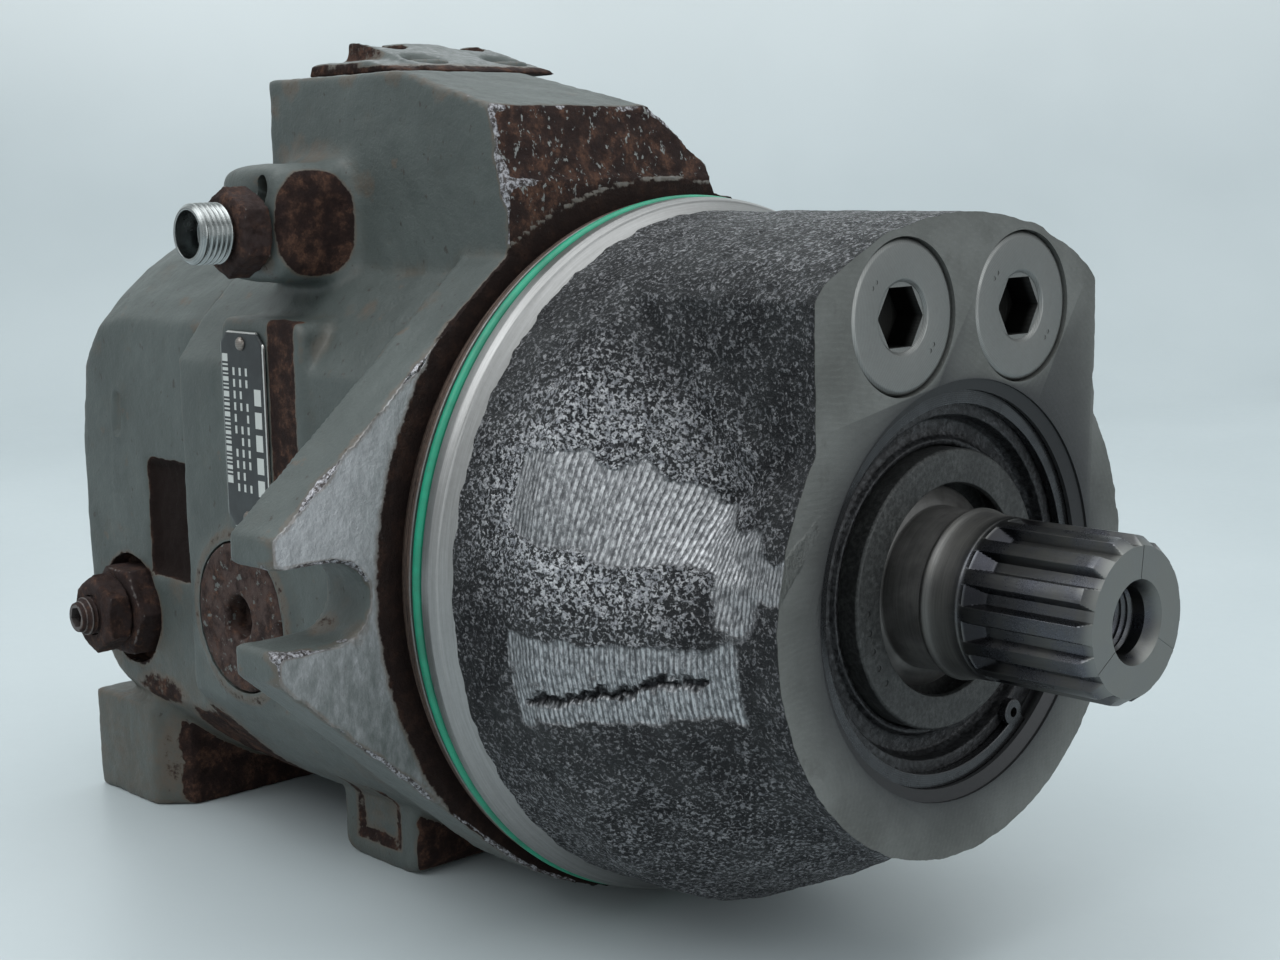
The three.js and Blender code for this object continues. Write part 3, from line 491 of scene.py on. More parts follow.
def bare_casting():
    """Oily cast iron with a coarse grain and bright worn peaks, which also stand in as a painted highlight
    where the mask puts more of them, ground bright in bands across its side; its recess is a flat dark grey,
    as painted shade.
    """
    look = Look("bare_casting")
    ground, seam, face = look.attribute("ground"), look.attribute("seam"), look.attribute("machined")
    shine, inside = look.attribute("shine"), look.attribute("inside")
    fine = look.noise(0.5, 4, 0.7)
    height = look.noise(0.98, 3, 0.62, 0.5) * 0.95 + fine * 0.45 + look.noise(6, 4, 0.6) * 0.2
    iron = look.mix(look.noise(17, 4, 0.6).step(0.3, 0.7), (0.012, 0.0125, 0.0145), (0.034, 0.036, 0.038))
    bright = look.mix(look.noise(2.2, 4, 0.7).step(0.35, 0.65), (0.30, 0.31, 0.335), (0.66, 0.665, 0.69))
    # bright worn peaks where the mask says: worn metal, and a painted highlight on the lit side and top
    peaks = (height + shine * 0.07).step(0.80, 0.95) * shine.span(0.34, 1.0)
    colour = look.mix(peaks, iron, bright)
    # ground flats with lines left by the wheel
    lines = look.waves(1.15, 0.8, look.stretch(1, 0.05, 0.06)).step(0.05, 0.55)
    wiped = (ground + look.noise(3.2, 5, 0.7) * 0.9).step(0.95, 1.22)
    mottle = look.noise(0.8, 4, 0.68, at=look.stretch(1, 0.6, 0.45))
    flat_colour = look.mix(mottle.step(0.36, 0.64), (0.13, 0.135, 0.142), (0.46, 0.47, 0.485))
    flat_colour = look.mix((1.0 - lines) * 0.55, flat_colour, (0.05, 0.052, 0.056))
    colour = look.mix(wiped, colour, flat_colour)
    colour = look.mix(seam, colour, (0.018, 0.018, 0.02))
    # machined front face, with the cutter's arcs
    arcs = look.waves(1.5, 3.5, look.vector("ADD", look.place, (0.0, 55.0, 40.0)), rings=True, detail=3.0)
    scratch = look.noise(0.9, 5, 0.8, 0.4, look.stretch(1, 0.25, 1))
    tone = look.mix(look.noise(24, 5, 0.6).step(0.3, 0.7), (0.088, 0.091, 0.086), (0.14, 0.145, 0.139))
    tone = look.mix((arcs * 0.12 + scratch).step(0.5, 0.85) * 0.2, tone, (0.22, 0.225, 0.215))
    tone = look.mix(look.noise(15, 6, 0.7).step(0.56, 0.7) * 0.5, tone, (0.075, 0.075, 0.07))
    colour = look.mix(face, colour, tone)
    # painted shade: the recess's turned walls are a flat dark grey
    colour = look.mix(inside, colour, (0.035, 0.036, 0.038))
    rough = look.blend(peaks, fine.span(0.42, 0.62), 0.36)
    rough = look.blend(wiped, rough, lines.span(0.5, 0.32))
    rough = look.blend(face, rough, scratch.span(0.34, 0.5))
    as_cast = 1.0 - wiped.at_least(face).at_least(inside)
    ground_height = (lines * 0.14 + mottle * 0.22) * wiped
    face_height = (arcs * 0.006 + scratch * 0.06) * face
    total = height * as_cast + ground_height + face_height + seam * -0.5
    return look.done(colour, rough, look.blend(peaks.at_least(wiped), 0.4, 0.85), look.bump(total, 1.5), 0.25)


def turned_metal(name, dark, light, rough, axis="x", at=(0, 0), metal=1.0, oil=0.35, socket_shade_below=None):
    """Turned or ground metal: fine rings about its axis and oily stains. Below the x given it is painted near
    black, as painted shade in a socket.
    """
    look = Look(name)
    offset = axis_point(axis, (0, 0), 0, -at[0], -at[1])
    centred = look.vector("ADD", look.place, tuple(float(v) for v in offset))
    rings = look.waves(0.5, 1.5, centred, axis.upper(), rings=True, detail=3.0)
    fine = look.noise(0.55, 5, 0.75)
    cloud = look.noise(9, 5, 0.65).step(0.32, 0.7)
    tone = look.mix(rings * 0.35 + fine * 0.55, dark, light)
    colour = look.mix(cloud * oil, tone, dimmed(dark, 0.4))
    if socket_shade_below is not None:
        # painted shade: near black below the x given
        black = (socket_shade_below - look.axis("X")).step(0.0, 2.6)
        colour = look.mix(black * 0.93, colour, (0.012, 0.012, 0.011))
    roughness = fine * (rough * 0.5) + cloud * (rough * 0.35) + rough * 0.5
    return look.done(colour, roughness, metal, look.bump(rings * 0.5 + fine * 1.0, 0.012))


def rusted_metal(name, bare=0.3, tint=(0.036, 0.025, 0.024), flecks=0.0):
    """Rusted steel with its edges rubbed to dark metal."""
    look = Look(name)
    rub = (look.attribute("edge") * 0.9 + look.noise(1.8, 5, 0.7) * 0.8).step(0.86, 1.12)
    crust = look.noise(0.9, 6, 0.75)
    tone = look.mix(look.noise(4, 5, 0.7).step(0.36, 0.62), tint, rust_colour(look))
    colour = look.mix(rub * bare, tone, (0.34, 0.32, 0.31))
    if flecks:
        paint = look.noise(3.4, 4, 0.65).step(0.6, 0.63)
        colour = look.mix(paint * flecks, colour, (0.15, 0.165, 0.16))
    rough = look.blend(rub, crust.span(0.6, 0.92), 0.42)
    height = crust * 0.9 + look.noise(3.5, 3, 0.6) * 0.5
    return look.done(colour, rough, rub * 0.6 + 0.12, look.bump(height, 0.3), 0.15)


def cast_disc(name, dark, light, size, depth, metal, rough):
    look = Look(name)
    grain = look.noise(size, 5, 0.7)
    cloud = look.noise(8, 4, 0.6).step(0.35, 0.7)
    colour = look.mix(grain.step(0.35, 0.72), dark, look.mix(cloud, light, dimmed(light, 0.6)))
    return look.done(colour, grain.span(*rough), metal, look.bump(grain, depth))


def pilot_metal():
    """The turned pilot: bright ahead of its groove, stained brown behind it."""
    look = Look("pilot_metal")
    rings = look.noise(0.35, 4, 0.7, at=look.stretch(1, 0.02, 0.02))
    fine = look.noise(1.4, 5, 0.75)
    steel = look.mix(rings * 0.7 + fine * 0.3, (0.15, 0.148, 0.144), (0.43, 0.432, 0.43))
    behind = (look.axis("X") * -1.0 + fine * 1.2).step(96.2, 97.2)
    stain = (rings * 0.6 + fine * 0.5).step(0.35, 0.75)
    stained = look.mix(stain, (0.02, 0.014, 0.012), (0.14, 0.095, 0.075))
    colour = look.mix(behind, steel, stained)
    rough = look.blend(behind, fine.span(0.34, 0.5), fine.span(0.5, 0.8))
    return look.done(colour, rough, look.blend(behind, 1.0, 0.45), look.bump(rings + fine * 0.4, 0.06))


def spline_steel():
    """The shaft: drawn dark steel, with a worn end, oily grooves, a painted highlight on its lip and collar,
    and the seal's track.
    """
    look = Look("spline_steel")
    along = look.axis("X")
    draw = look.noise(0.7, 4, 0.7, at=look.stretch(0.06, 1, 1))
    fine = look.noise(0.5, 5, 0.75)
    cloud = look.noise(11, 4, 0.6).step(0.35, 0.68)
    tone = look.mix(draw * 0.6 + fine * 0.4, (0.055, 0.056, 0.054), (0.15, 0.15, 0.145))
    colour = look.mix(cloud * 0.45, tone, (0.07, 0.078, 0.115))
    end = along.step(46.2, 48.8) * 0.75
    colour = look.mix(end, colour, (0.21, 0.215, 0.205))
    # oil lies in the run-outs of the spline's grooves
    radius = look.vector("LENGTH", look.stretch(0, 1, 1), (0.0, 0.0, 0.0))
    oily = radius.step(19.62, 19.3) * along.step(23.0, 18.5) * along.step(12.6, 13.4)
    colour = look.mix(oily * 0.85, colour, (0.014, 0.014, 0.017))
    # the seal's running track, turned and stained, and ahead of it the lip and collar, lightened as a painted
    # highlight
    track = along.step(3.4, 2.4)
    rings = look.noise(0.5, 4, 0.7, at=look.stretch(1, 0.03, 0.03))
    tracked = look.mix(rings * 0.7 + cloud * 0.4, (0.016, 0.015, 0.015), (0.15, 0.147, 0.142))
    colour = look.mix(track, colour, tracked)
    # painted highlight on the lip and collar
    collar_highlight = along.step(2.8, 3.4) * along.step(13.6, 10.0)
    collar_highlight_colour = look.mix(rings, (0.08, 0.078, 0.072), (0.30, 0.295, 0.28))
    colour = look.mix(collar_highlight * 0.7, colour, collar_highlight_colour)
    rough = fine * 0.16 + cloud * -0.06 + end * 0.15 + track * 0.16 + collar_highlight * 0.16 + 0.24
    return look.done(colour, rough, look.blend(track, 1.0, 0.35), look.bump(draw + fine * 0.5, 0.02))


def soft_ring():
    look = Look("seal_green")
    fine = look.noise(0.8, 5, 0.7)
    colour = look.mix(look.noise(14, 4, 0.6).step(0.35, 0.7), (0.006, 0.26, 0.15), (0.01, 0.16, 0.095))
    colour = look.mix(look.noise(4, 5, 0.7).step(0.6, 0.75) * 0.5, colour, (0.03, 0.09, 0.06))
    return look.done(colour, fine.span(0.34, 0.5), 0.0, look.bump(fine, 0.03))


def label_black():
    look = Look("label_black")
    fine = look.noise(1.2, 5, 0.7)
    colour = look.mix(look.noise(7, 5, 0.6).step(0.35, 0.7), (0.008, 0.010, 0.012), (0.02, 0.025, 0.027))
    rubbed = (look.attribute("edge") + fine * 0.6).step(0.85, 1.05)
    colour = look.mix(rubbed, colour, (0.6, 0.6, 0.58))
    return look.done(colour, fine.span(0.25, 0.42), rubbed * 0.9, look.bump(fine, 0.015))


def label_print():
    look = Look("label_print")
    wear = look.noise(1.6, 5, 0.7).step(0.62, 0.74)
    colour = look.mix(wear * 0.7, (0.52, 0.54, 0.52), (0.12, 0.125, 0.12))
    return look.done(colour, wear.span(0.35, 0.5), 0.2, look.bump(wear, 0.01))


def floor_paint():
    look = Look("floor_paint")
    cloud, fine = look.noise(420, 4, 0.5), look.noise(5, 5, 0.6)
    floor = look.mix(cloud.step(0.3, 0.7), (0.44, 0.495, 0.515), (0.49, 0.545, 0.565))
    colour = look.mix(look.axis("Z").step(60, 700), floor, (0.95, 0.975, 0.965))
    return look.done(colour, fine.span(0.32, 0.42), 0.0, look.bump(fine, 0.02))


# where the pieces sit that more than one function names: (y, z), or (x, z) on the left side, or
# (x, y) on top
PLUG_PLACES = [(-22.4, 67.9), (22.4, 67.9)]
SIDE_PLUG, FITTING, ADJUSTER = (-197.5, -23), (-183, 87.5), (-278, -33.7)
RIVETS = [(-188, 56.6), (-188, 7.4)]
COVER_SCREWS = [(-192, -28), (-192, 1), (-171, -28), (-171, 1)]
PLATE_BOLTS = [(-55, 55), (55, 55), (-55, -55), (55, -55)]

PAINT, IRON, PILOT, SPLINE = painted_casting(), bare_casting(), pilot_metal(), spline_steel()
SEAL_GREEN, LABEL, PRINT = soft_ring(), label_black(), label_print()
RUSTED = rusted_metal("rusted_steel")
RUSTED_PLUG = rusted_metal("rusted_plug", 0.25, (0.07, 0.048, 0.043), 0.7)
BOLT_STEEL = rusted_metal("bolt_steel", 0.5, (0.05, 0.05, 0.05), 0.5)
CARRIER = cast_disc("carrier_iron", (0.006, 0.006, 0.007), (0.06, 0.062, 0.066), 1.3, 0.35, 0.6, (0.22, 0.45))
SEAL_DISC = cast_disc("seal_disc", (0.02, 0.021, 0.021), (0.068, 0.071, 0.07), 1.1, 0.2, 0.5, (0.4, 0.6))
ZINC = turned_metal("zinc_plate", (0.20, 0.215, 0.215), (0.50, 0.52, 0.515), 0.26, "y", FITTING, 1.0, 0.3)
# the plugs' hex sockets and the gaps round them are painted near black below x = -1.6, as painted shade
PLUG_STEEL = turned_metal(
    "plug_steel", (0.145, 0.15, 0.147), (0.25, 0.255, 0.248), 0.5, "x", (0, 67.9), 1.0, 0.12,
    socket_shade_below=-1.6,
)
DARK_STEEL = turned_metal("dark_steel", (0.03, 0.031, 0.034), (0.10, 0.102, 0.106), 0.3, metal=0.9)
GROUND_STEEL = turned_metal("ground_steel", (0.38, 0.385, 0.39), (0.62, 0.625, 0.63), 0.24, oil=0.2)
BLOCK_STEEL = turned_metal("block_steel", (0.26, 0.262, 0.265), (0.46, 0.462, 0.465), 0.34, oil=0.25)
BRONZE = turned_metal("bearing_bronze", (0.36, 0.22, 0.09), (0.62, 0.43, 0.2), 0.3, oil=0.2)
RIVET = turned_metal("rivet_metal", (0.16, 0.13, 0.11), (0.38, 0.36, 0.34), 0.45, "y", (-188, 32), 0.8, 0.5)


# ---------------------------------------------------------------- nose casting

def line_distance(co, a, b):
    """Distance in the (x, z) view from the segment a to b."""
    p, a, b = co[:, [0, 2]], np.array(a, float), np.array(b, float)
    t = np.clip(((p - a) @ (b - a)) / ((b - a) @ (b - a)), 0, 1)
    return np.linalg.norm(p - (a + t[:, None] * (b - a)), axis=1)


def nose_masks(co):
    """Ground bands, seam, and the area of bright worn peaks on the nose's left side, which is also a painted
    highlight and is cut back in the hollow as painted shade, as 0 to 1 for each vertex.
    """
    x, y, z = co.T
    z = z + 2.6 * noise_at(co, 9, 2, 31)
    side = smoothstep(-38, -52, y)
    along = [-70, -60, -42, -25, -5]
    top, foot = np.interp(x, along, [35, 39, 36, 26, 17]), np.interp(x, along, [22, 19, 12, 12, 6])
    band_a = smoothstep(2.5, -2.5, z - top) * smoothstep(-2.5, 2.5, z - foot) * smoothstep(-70, -62, x)
    low_foot = np.interp(x, [-66, -10], [-28, -23])
    band_b = smoothstep(2.5, -2.5, z + 4) * smoothstep(-2.5, 2.5, z - low_foot)
    band_b = band_b * smoothstep(-69, -63, x) * smoothstep(-10, -13, x)
    patch = blob(co, (-13, -63, 10), (11, 20, 21))
    rear = smoothstep(-63, -68, x) * smoothstep(-30, -24, z) * smoothstep(36, 28, z) * 0.42
    ground = side * np.maximum.reduce([band_a * 0.9, band_b * 0.85, patch, rear])
    wander = 1.9 * noise_at(co, 2.6, 3, 32) + 2.5 * noise_at(co, 12, 1, 33)
    jagged = co + np.array([0, 0, 1.0]) * wander[:, None]
    run = line_distance(jagged, (-61, -21.5), (-20, -13.2))
    seam = side * smoothstep(1.5, 0.7, run) * smoothstep(-64, -60, x)
    # more bright peaks on the lit left side and the top: worn metal, and a painted highlight
    shine = blob(co, (-45, -78, 28), (48, 50, 48))
    shine += 0.2 * smoothstep(60, 90, z) + 0.3 * smoothstep(-24, -60, z)
    # fewer bright peaks in the hollow beside the face's corner: painted shade
    shine *= 1 - 0.75 * facet(co)[0]
    return ground, seam, np.clip(shine, 0, 1)


def facet(co):
    """The hollow beside the face's upper left corner, and the ridge along its lower left border."""
    x, y, z = co.T
    from_ridge = (x + 8) * 0.731 + (z - 27) * 0.682
    side = smoothstep(-36, -48, y)
    inside = side * smoothstep(-1.5, 4, from_ridge) * smoothstep(82, 74, z)
    ridge = side * np.exp(-(((from_ridge + 1.5) / 3.5) ** 2)) * smoothstep(20, 28, z) * smoothstep(80, 70, z)
    return inside, ridge


def hollow(name):
    """The nose's turned recess, bearing seat and chamber."""
    profile = [
        (0, 6), (51.8, 6), (51.8, -0.8), (49, -2.4), (49, -3.5), (51.6, -3.5), (51.6, -6.5), (49, -6.5),
        (49, -24), (43.3, -24), (43.3, -51.3), (38, -51.3), (38, -56), (54, -60), (74, -78), (76, -96),
        (0, -96),
    ]
    return spun(name, profile, sides=128)


def nose_casting():
    obj = copy_node("housing", "nose_casting")
    fills = [drum("fill", 54, -30, 0), block("fill", (-60, -8, 52), (-2, 8, 84))]
    fills += [drum("fill", 20.5, -14, 0, at=at, sides=48) for at in PLUG_PLACES]
    boolean(obj, "UNION", *fills)
    boolean(obj, "INTERSECT", slab("keep", -83.1, 20))
    co = points(obj)
    co[co[:, 0] > -0.02, 0] += 3.0
    co[co[:, 0] < -83.05, 0] = -86.6
    set_points(obj, co)
    remesh(obj, 0.95)
    relax(obj, 9, lambda c: 1 - 0.9 * smoothstep(-4, 0, c[:, 0]))
    co = points(obj)
    ground, seam, _ = nose_masks(co)
    rough = 1 - 0.45 * smoothstep(60, 84, co[:, 2])
    outside = smoothstep(48, 56, radius_of(co))
    lumps = noise_at(co, 7, 2, 1) * 0.30 + noise_at(co, 2.6, 2, 2) * 0.26
    dents = -0.5 * smoothstep(0.25, 0.55, noise_at(co, 11, 2, 3))
    cast = (lumps + dents) * rough * (1 - 0.85 * ground) - 0.25 * ground
    cast += seam * (-0.9 + 0.8 * noise_at(co, 3, 2, 4))
    hollowed, ridge = facet(co)
    cast += (0.9 * ridge - 0.7 * hollowed) * smoothstep(-0.5, -5, co[:, 0])
    push(obj, np.where(np.abs(normals(obj)[:, 0]) > 0.97, 0, 1) * outside * cast)
    plugs = [drum("pocket", 18.6, -12.1, 6, at=at, sides=96) for at in PLUG_PLACES]
    bores = [drum("bore", 14.3, -90, -11, at=at, sides=48) for at in PLUG_PLACES]
    boolean(obj, "DIFFERENCE", slab("face", 0, 20), hollow("hollow"), *plugs, *bores)
    co = points(obj)
    ground, seam, shine = nose_masks(co)
    # the recess's walls, which the material colours dark as painted shade
    inside = (radius_of(co) < 52.2) & (co[:, 0] > -60)
    store(obj, ground=ground, seam=seam, shine=shine, machined=co[:, 0] > -0.02, inside=inside)
    return piece(obj, "housing", IRON, angle=38)


def pilot_land():
    """Turned pilot: lead-in, O-ring groove, and the fine grooves between it and the flange."""
    profile = [(86, -83.4), (90.6, -83.4), (92.6, -85.4), (93.6, -86.4), (94.2, -86.7), (95, -88.6)]
    profile += [(95, -91.4), (92, -91.7), (92, -95.6), (95, -95.9)]
    for i in range(3):
        x = -97.4 - i * 1.1
        profile += [(95 - i * 0.5, x), (94.1 - i * 0.5, x - 0.35), (94.9 - i * 0.5, x - 0.7)]
    profile += [(92.4, -100.6), (92, -104.5), (86, -104.5)]
    obj = spun("pilot_land", eased(profile, 0.25, True), sides=256, ring=True)
    return piece(obj, "housing", PILOT)


# ---------------------------------------------------------------- rear castings

def spots_at(co, spots):
    """The strongest of some soft round spots, each (centre, radius, strength)."""
    return np.maximum.reduce([blob(co, c, (r, r, r)) * strength for c, r, strength in spots])


HOUSING_SPOTS = [
    ((-158, -66.5, 66), 4.5, 0.34), ((-119, -69, 70), 8, 0.36), ((-205, -55, 108), 7, 0.4),
    ((-196, -55, 110), 8, 0.42), ((-186, -57, 108), 10, 0.42), ((-164, -56, 100), 7, 0.42),
    ((-190, -80, 96), 7, 0.4), ((-178, -80, 80), 7, 0.5), ((-182, -80, 92), 9, 0.45),
    ((-208, -55, 122), 7, 0.4), ((-200, -55, 129), 9, 0.45), ((-206, -72, 30), 6, 0.3),
    ((-203, -78, 2), 8, 0.36), ((-150, -70, -62), 16, 0.32), ((-112, -128, -6), 8, 0.35),
    ((-104, -106, -8), 7, 0.4), ((-116, -107, -9), 8, 0.5), ((-150, -55, 129), 7, 0.42),
    ((-172, -55, 130), 8, 0.44), ((-130, -55, 124), 6, 0.42), ((-150, -66, 66), 7, 0.4),
    ((-134, -70, 70), 6, 0.4), ((-186, -82, 66), 7, 0.4), ((-178, -60, -70), 12, 0.3),
    ((-165, -40, 128), 14, 0.34),
]
PLATE_SPOTS = [
    ((-292, -73, 50), 7, 0.36), ((-272, -73, 52), 8, 0.3), ((-240, -72, 38), 7, 0.25),
    ((-285, -73, -10), 9, 0.3), ((-250, -72, -24), 9, 0.38), ((-300, -66, 20), 10, 0.32),
    ((-270, -60, 72), 14, 0.28), ((-290, -70, -52), 9, 0.42), ((-250, 60, 70), 16, 0.3),
    ((-290, 72, -20), 22, 0.34), ((-306, 10, 40), 24, 0.3), ((-306, -10, -60), 26, 0.36),
    ((-292, -73, -82), 8, 0.34), ((-300, -73, -70), 8, 0.3),
]


def housing_rust(co, n):
    """Rust on the housing as 0 to 1, and the mask of the block's rusted slope."""
    x, y, z = co.T
    front = smoothstep(0.55, 0.8, n[:, 0])
    slope = front * smoothstep(-114, -111.5, x) * smoothstep(80, 85, z) * smoothstep(99, 102, radius_of(co))
    rounded = np.abs((y + 68) / 11.6) ** 2.8 + np.abs((z - 89.5) / 14.6) ** 2.8
    port = smoothstep(0.1, 0.5, n[:, 0]) * smoothstep(1.35, 0.6, rounded)
    port = port * smoothstep(-180, -174, x) * smoothstep(-160, -163, x)
    strip = box_mask(co, (-175.5, -90, 8), (-164.5, -78, 64), 2.0)
    lug_front = front * box_mask(co, (-157, -53, -98), (-150, -5, -70), 2)
    panel = box_mask(co, (-184, -60, -92), (-162.5, -50.5, -69.5), 1.0)
    centre = box_mask(co, (-180.5, -60, -88), (-166.5, -50.5, -73), 1.0)
    under = smoothstep(-205, -222, x) * smoothstep(-46, -62, z) * 0.8
    from_plug = np.hypot(x - SIDE_PLUG[0], z - SIDE_PLUG[1])
    boss = smoothstep(21, 23.5, from_plug) * smoothstep(28, 25, from_plug) * smoothstep(-78, -81, y)
    cover_line = box_mask(co, (-212, -47, 129.5), (-152, 16, 134), 2.5) * 0.9
    rust = np.maximum.reduce([
        slope, port, strip * 0.95, lug_front, panel * 0.62 - centre * 0.28, under, boss * 0.5, cover_line,
        spots_at(co, HOUSING_SPOTS), 0.72 * stained_ring(co),
    ])
    return np.clip(rust, 0, 1), slope


def stained_ring(co):
    """The dark ring on the flange's face round the pilot."""
    return smoothstep(103, 98, radius_of(co)) * smoothstep(-106, -103.2, co[:, 0])


def bars(co, centre, count, pitch, size, depth=0.4):
    """A column of short raised bars, where the real casting carries letters."""
    out, half = np.zeros(len(co)), np.array(size) / 2
    for i in range(count):
        c = np.array(centre, float)
        c[2] += (i - (count - 1) / 2) * pitch
        out = np.maximum(out, box_mask(co, c - half, c + half, 0.8))
    return out * depth


def patchy_edges(obj, least, size, seed):
    """Convexity that is weaker along some stretches."""
    patches = smoothstep(-0.2, 0.3, noise_at(points(obj), size, 2, seed))
    return convexity(obj) * (least + (1 - least) * patches)


def housing_casting():
    obj = copy_node("housing", "housing_casting")
    fills = [drum("fill", 23, -81.5, -69, "y", SIDE_PLUG), drum("fill", 9, -80, -61, "y", FITTING)]
    fills += [drum("fill", 2.5, -81.5, -76, "y", at, 16) for at in RIVETS]
    boolean(obj, "UNION", *fills)
    boolean(obj, "INTERSECT", slab("keep", -240, FLANGE_X))
    remesh(obj, 1.3)
    relax(obj, 9, lambda c: np.clip(0.75 - 0.68 * in_slab(c, -103.5, -90, 5), 0.05, 1))
    relax(obj, 44, lambda c: box_mask(c, (-206, -79, 70), (-164, -57, 110), 5), ROUND_CORNERS)
    relax(obj, 3, lambda c: 0.8 - 0.8 * in_slab(c, -124, -90, 3), ROUND_CORNERS)
    relax(obj, 16, lambda c: box_mask(c, (-228, -85, 58), (-126, -50, 74), 5) * 0.9)
    # the flange's face goes back to flat, and everything else gets its cast skin
    co, n = points(obj), normals(obj)
    face = (co[:, 0] > FLANGE_X - 0.9) & (n[:, 0] > 0.45) & (radius_of(co) > 84)
    co[face, 0] = FLANGE_X
    set_points(obj, co)
    skin = noise_at(co, 9, 2, 5) * 0.28 + noise_at(co, 3.1, 2, 6) * 0.1
    skin += housing_rust(co, n)[0] * (noise_at(co, 2.4, 3, 7) * 0.35 - 0.12)
    skin += bars(co, (-173.3, -52, -80.7), 3, 5.2, (6.5, 6, 1.8))
    skin = np.where(face, np.minimum(noise_at(co, 6, 2, 8) * 0.05, 0), skin)
    inner = (radius_of(co) < 81) & (np.abs(co[:, 1]) < 74.5)
    push(obj, np.where(inner, 0, skin))
    plug = drum("pocket", 22.35, -90, -70.9, "y", SIDE_PLUG)
    fitting_bore = drum("pocket", 8.4, -90, -62, "y", FITTING, 48)
    oblong = [
        (math.cos(t) * 2.3, math.sin(t) * 2.3 + (2 if math.sin(t) > 0 else -2))
        for t in np.linspace(0.13, 6.15, 24)
    ]
    slot = prism("oblong", oblong, "y", [(-90, 1), (-73, 1)], (-180.2, 98.7))
    boolean(obj, "DIFFERENCE", plug, fitting_bore, slot)
    # masks for the paint
    co, n = points(obj), normals(obj)
    y, z = co[:, 1], co[:, 2]
    rust, slope = housing_rust(co, n)
    edge = patchy_edges(obj, 0.55, 16, 9)
    flange_rim = in_slab(co, -108, -100, 2) * smoothstep(95, 97, radius_of(co))
    block_side = box_mask(co, (-116, -60, 84), (-100, -47, 124), 3)
    block_top = box_mask(co, (-118, -60, 117), (-100, 20, 130), 3)
    crease = box_mask(co, (-116, -44, 92), (-100, 44, 112), 3)
    # a larger edge share on the flange's rim, so its chips run on as a painted highlight line
    share = 0.42 + 0.56 * flange_rim + 0.3 * np.maximum(block_side, block_top) - 0.36 * crease
    upper = smoothstep(-24, 26, z) * smoothstep(-60, -84, y)
    store(
        obj, rust=rust, deep=0.8 * stained_ring(co), flecks=slope * smoothstep(84, 100, z),
        # concave corners and the lower part get grime that is part dirt, part painted shade
        edge=np.clip(edge, 0, 1) * share, soot=np.clip(-edge, 0, 1) + 0.3 * smoothstep(-20, -80, z),
        bare=flange_rim * smoothstep(0.5, 0.8, n[:, 0]) * (0.5 + 0.4 * upper),
    )
    return piece(obj, "housing", PAINT, ["housing"], angle=50)


def plate_rust(co, n):
    x, y, z = co.T
    window = box_mask(co, (-264, -71.2, -20.5), (-235, -60, 16.5), 1.0)
    well = smoothstep(21, 17.5, np.hypot(x - ADJUSTER[0], z - ADJUSTER[1])) * smoothstep(-73, -71, y)
    foot_front = smoothstep(0.5, 0.8, n[:, 0]) * smoothstep(-60, -66, z) * smoothstep(-266, -262, x)
    shelf = blob(co, (-262, -72, -58), (26, 14, 9)) * 0.62
    corner = blob(co, (-262, -70, -82), (13, 12, 26)) * 0.5
    haze = box_mask(co, (-307, -75, -98), (-262, -68, -40), 8) * 0.3
    behind = smoothstep(-258, -240, x) * smoothstep(-52, -66, z) * 0.9
    masks = [window, well, foot_front, shelf, corner, haze, behind, spots_at(co, PLATE_SPOTS)]
    return np.clip(np.maximum.reduce(masks), 0, 1)


def plate_casting():
    obj = copy_node("rear_plate", "plate_casting")
    boolean(obj, "UNION", drum("fill", 18.6, -72, -64, "y", ADJUSTER))
    remesh(obj, 1.35)
    relax(obj, 10, lambda c: np.full(len(c), 0.75))
    relax(obj, 5, lambda c: np.full(len(c), 0.8), ROUND_CORNERS)
    co, n = points(obj), normals(obj)
    skin = noise_at(co, 9, 2, 10) * 0.3 + noise_at(co, 3, 2, 11) * 0.1
    skin += plate_rust(co, n) * (noise_at(co, 2.6, 3, 12) * 0.4 - 0.15)
    dent = line_distance(co, (-280.6, 24.5), (-279.7, 34))
    dent_depth = smoothstep(4.6, 3.2, dent) * 0.5 - smoothstep(2.8, 1.4, dent) * 1.1
    skin += np.where(co[:, 1] < -68, dent_depth, 0)
    skin += bars(co, (-281.5, -72, 4), 10, 3.9, (8.5, 4, 1.4), depth=0.32)
    skin += bars(co, (-291, -72, -82), 5, 4.4, (9, 4, 1.6), depth=0.35)
    outside = (radius_of(co) > 62) | (co[:, 0] < -232)
    push(obj, np.where(outside, skin, 0))
    well, bore = drum("well", 17.8, -90, -66, "y", ADJUSTER), drum("bore", 6.3, -90, -50, "y", ADJUSTER, 48)
    boolean(obj, "DIFFERENCE", well, bore, slab("rear", -330, REAR_X))
    co = points(obj)
    edge = patchy_edges(obj, 0.5, 15, 13)
    store(
        # the window recess's rust is made nearly black here: part rust, part painted shade
        obj, rust=plate_rust(co, normals(obj)), deep=box_mask(co, (-264, -71.2, -21), (-235, -60, 17), 0.8),
        # concave corners and the lower part get grime that is part dirt, part painted shade
        edge=np.clip(edge, 0, 1) * 0.5, soot=np.clip(-edge, 0, 1) + 0.55 * smoothstep(20, -80, co[:, 2]),
    )
    return piece(obj, "housing", PAINT, ["rear_plate"], angle=50)


